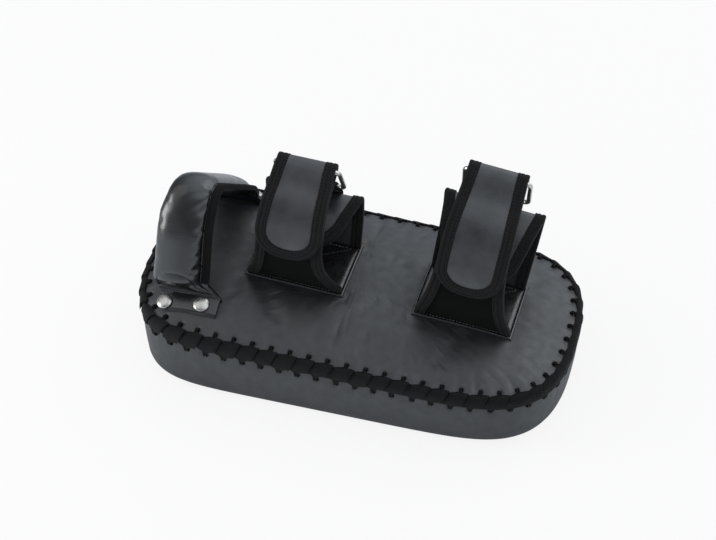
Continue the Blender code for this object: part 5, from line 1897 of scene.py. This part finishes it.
def build_keeper(strap, m):
    bar = ring_ends(strap)[1]
    tape = KEEPER_WEBBING
    around = WIRE / 2 + 2 * GAP + tape / 2
    middle, bend, first, _ = strap.bend
    inner = bend + WING_PANEL / 2 + 2 * GAP + tape / 2
    outer = inner + tape + GAP
    face = np.array([math.cos(first), math.sin(first)])
    down = np.array([face[1], -face[0]])
    crossing = tangent_angle(middle, inner, bar, -around)
    returning = tangent_angle(middle, outer, bar, around)
    path = [
        middle + face * inner + down * KEEPER_TAIL,
        *arc(middle, inner, first, crossing - first, 6),
        *arc(bar, around, crossing + math.pi, returning - crossing - math.pi, 24),
        *arc(middle, outer, returning, first - returning, 6),
        middle + face * outer + down * KEEPER_TAIL,
    ]
    profile = Profile(np.array(path))
    placed = Placed(strap, profile, wave=0.0)
    marks = profile.stations()
    name = strap.name
    panel(
        f"{name}_keeper_webbing", placed, marks, lambda s: KEEPER_WIDTH / 2, -tape / 2, tape / 2,
        m["webbing"], "pad", [f"{name}_ring_keeper"], columns=9,
    )


# The solids that stay as they are, out of sight inside the pad, by their finish
HIDDEN = {
    "foam": ("strike_foam", "core_foam", "back_foam", "handle_core"),
    "board": ("stiffener_board",),
    "nickel": ("near_outer_burr", "near_inner_burr", "far_outer_burr", "far_inner_burr"),
}


def dress_hidden(m):
    for finish, nodes in HIDDEN.items():
        for node in nodes:
            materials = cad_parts[node].data.materials
            materials.clear()
            materials.append(m[finish])


def make_finishes():
    return {
        "pad": leather("pad_leather_finish", (0.0125, 0.0134, 0.0158), (0.46, 0.60)),
        "handle": leather(
            "handle_leather_finish", (0.0048, 0.0053, 0.0066), (0.18, 0.28), creases=0.10 * MM
        ),
        "patch": leather("patch_leather_finish", (0.006, 0.006, 0.0068), (0.22, 0.34)),
        "face": leather(
            "strap_leather_finish", (0.0150, 0.0160, 0.0190), (0.30, 0.48),
            grain=0.08 * MM, creases=0.35 * MM, wear=0.45,
        ),
        "webbing": webbing("webbing_finish", (0.0075, 0.0076, 0.0080)),
        "lace": webbing("lace_finish", (0.0045, 0.0047, 0.0046), rib=0.8 * MM, depth=0.14 * MM),
        "pile": pile("loop_pile_finish", (0.0042, 0.0044, 0.0041)),
        "hooks": hooks("hook_tape_finish", (0.008, 0.008, 0.008)),
        "thread": webbing("thread_finish", (0.030, 0.030, 0.032), rib=0.5 * MM, depth=0.05 * MM),
        "dull": webbing(
            "seam_strip_finish", (0.0075, 0.0077, 0.0078), rib=0.7 * MM, depth=0.04 * MM, specular=0.12
        ),
        # Lighter thread: partly its own grey, partly a painted glint on the stitches; its shine from
        # roughness is real
        "patch_thread": leather("waxed_thread_finish", (0.045, 0.046, 0.050), (0.25, 0.40)),
        "nickel": metal("nickel_finish", (0.66, 0.63, 0.59)),
        "foam": foam("foam_finish", (0.30, 0.30, 0.31)),
        "board": board("board_finish", (0.36, 0.27, 0.17)),
    }


def main():
    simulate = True
    bpy.context.scene.view_settings.view_transform = "Standard"
    add_camera()
    add_world()
    add_floor()
    for name, place, target, size, power in LAMPS:
        add_lamp(name, place, target, size, power)
    m = make_finishes()
    build_back(m["pad"], settled_back() if simulate else None)
    build_front(m["pad"])
    build_welt(m["webbing"])
    build_lacing(m["lace"])
    build_handle(m["handle"], m["dull"], m["patch_thread"], simulate)
    build_rivets(m["nickel"])
    for name, shape in STRAPS.items():
        strap = Strap(name, shape)
        build_patch(strap, m["patch"], m["patch_thread"])
        build_near_wing(strap, m)
        build_tongue(strap, m)
        build_far_wing(strap, m)
        build_ring(strap, m["nickel"])
        build_keeper(strap, m)
    dress_hidden(m)


main()

boxes = [[list(corner) for corner in box] for box in (CAD_BOX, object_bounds())]
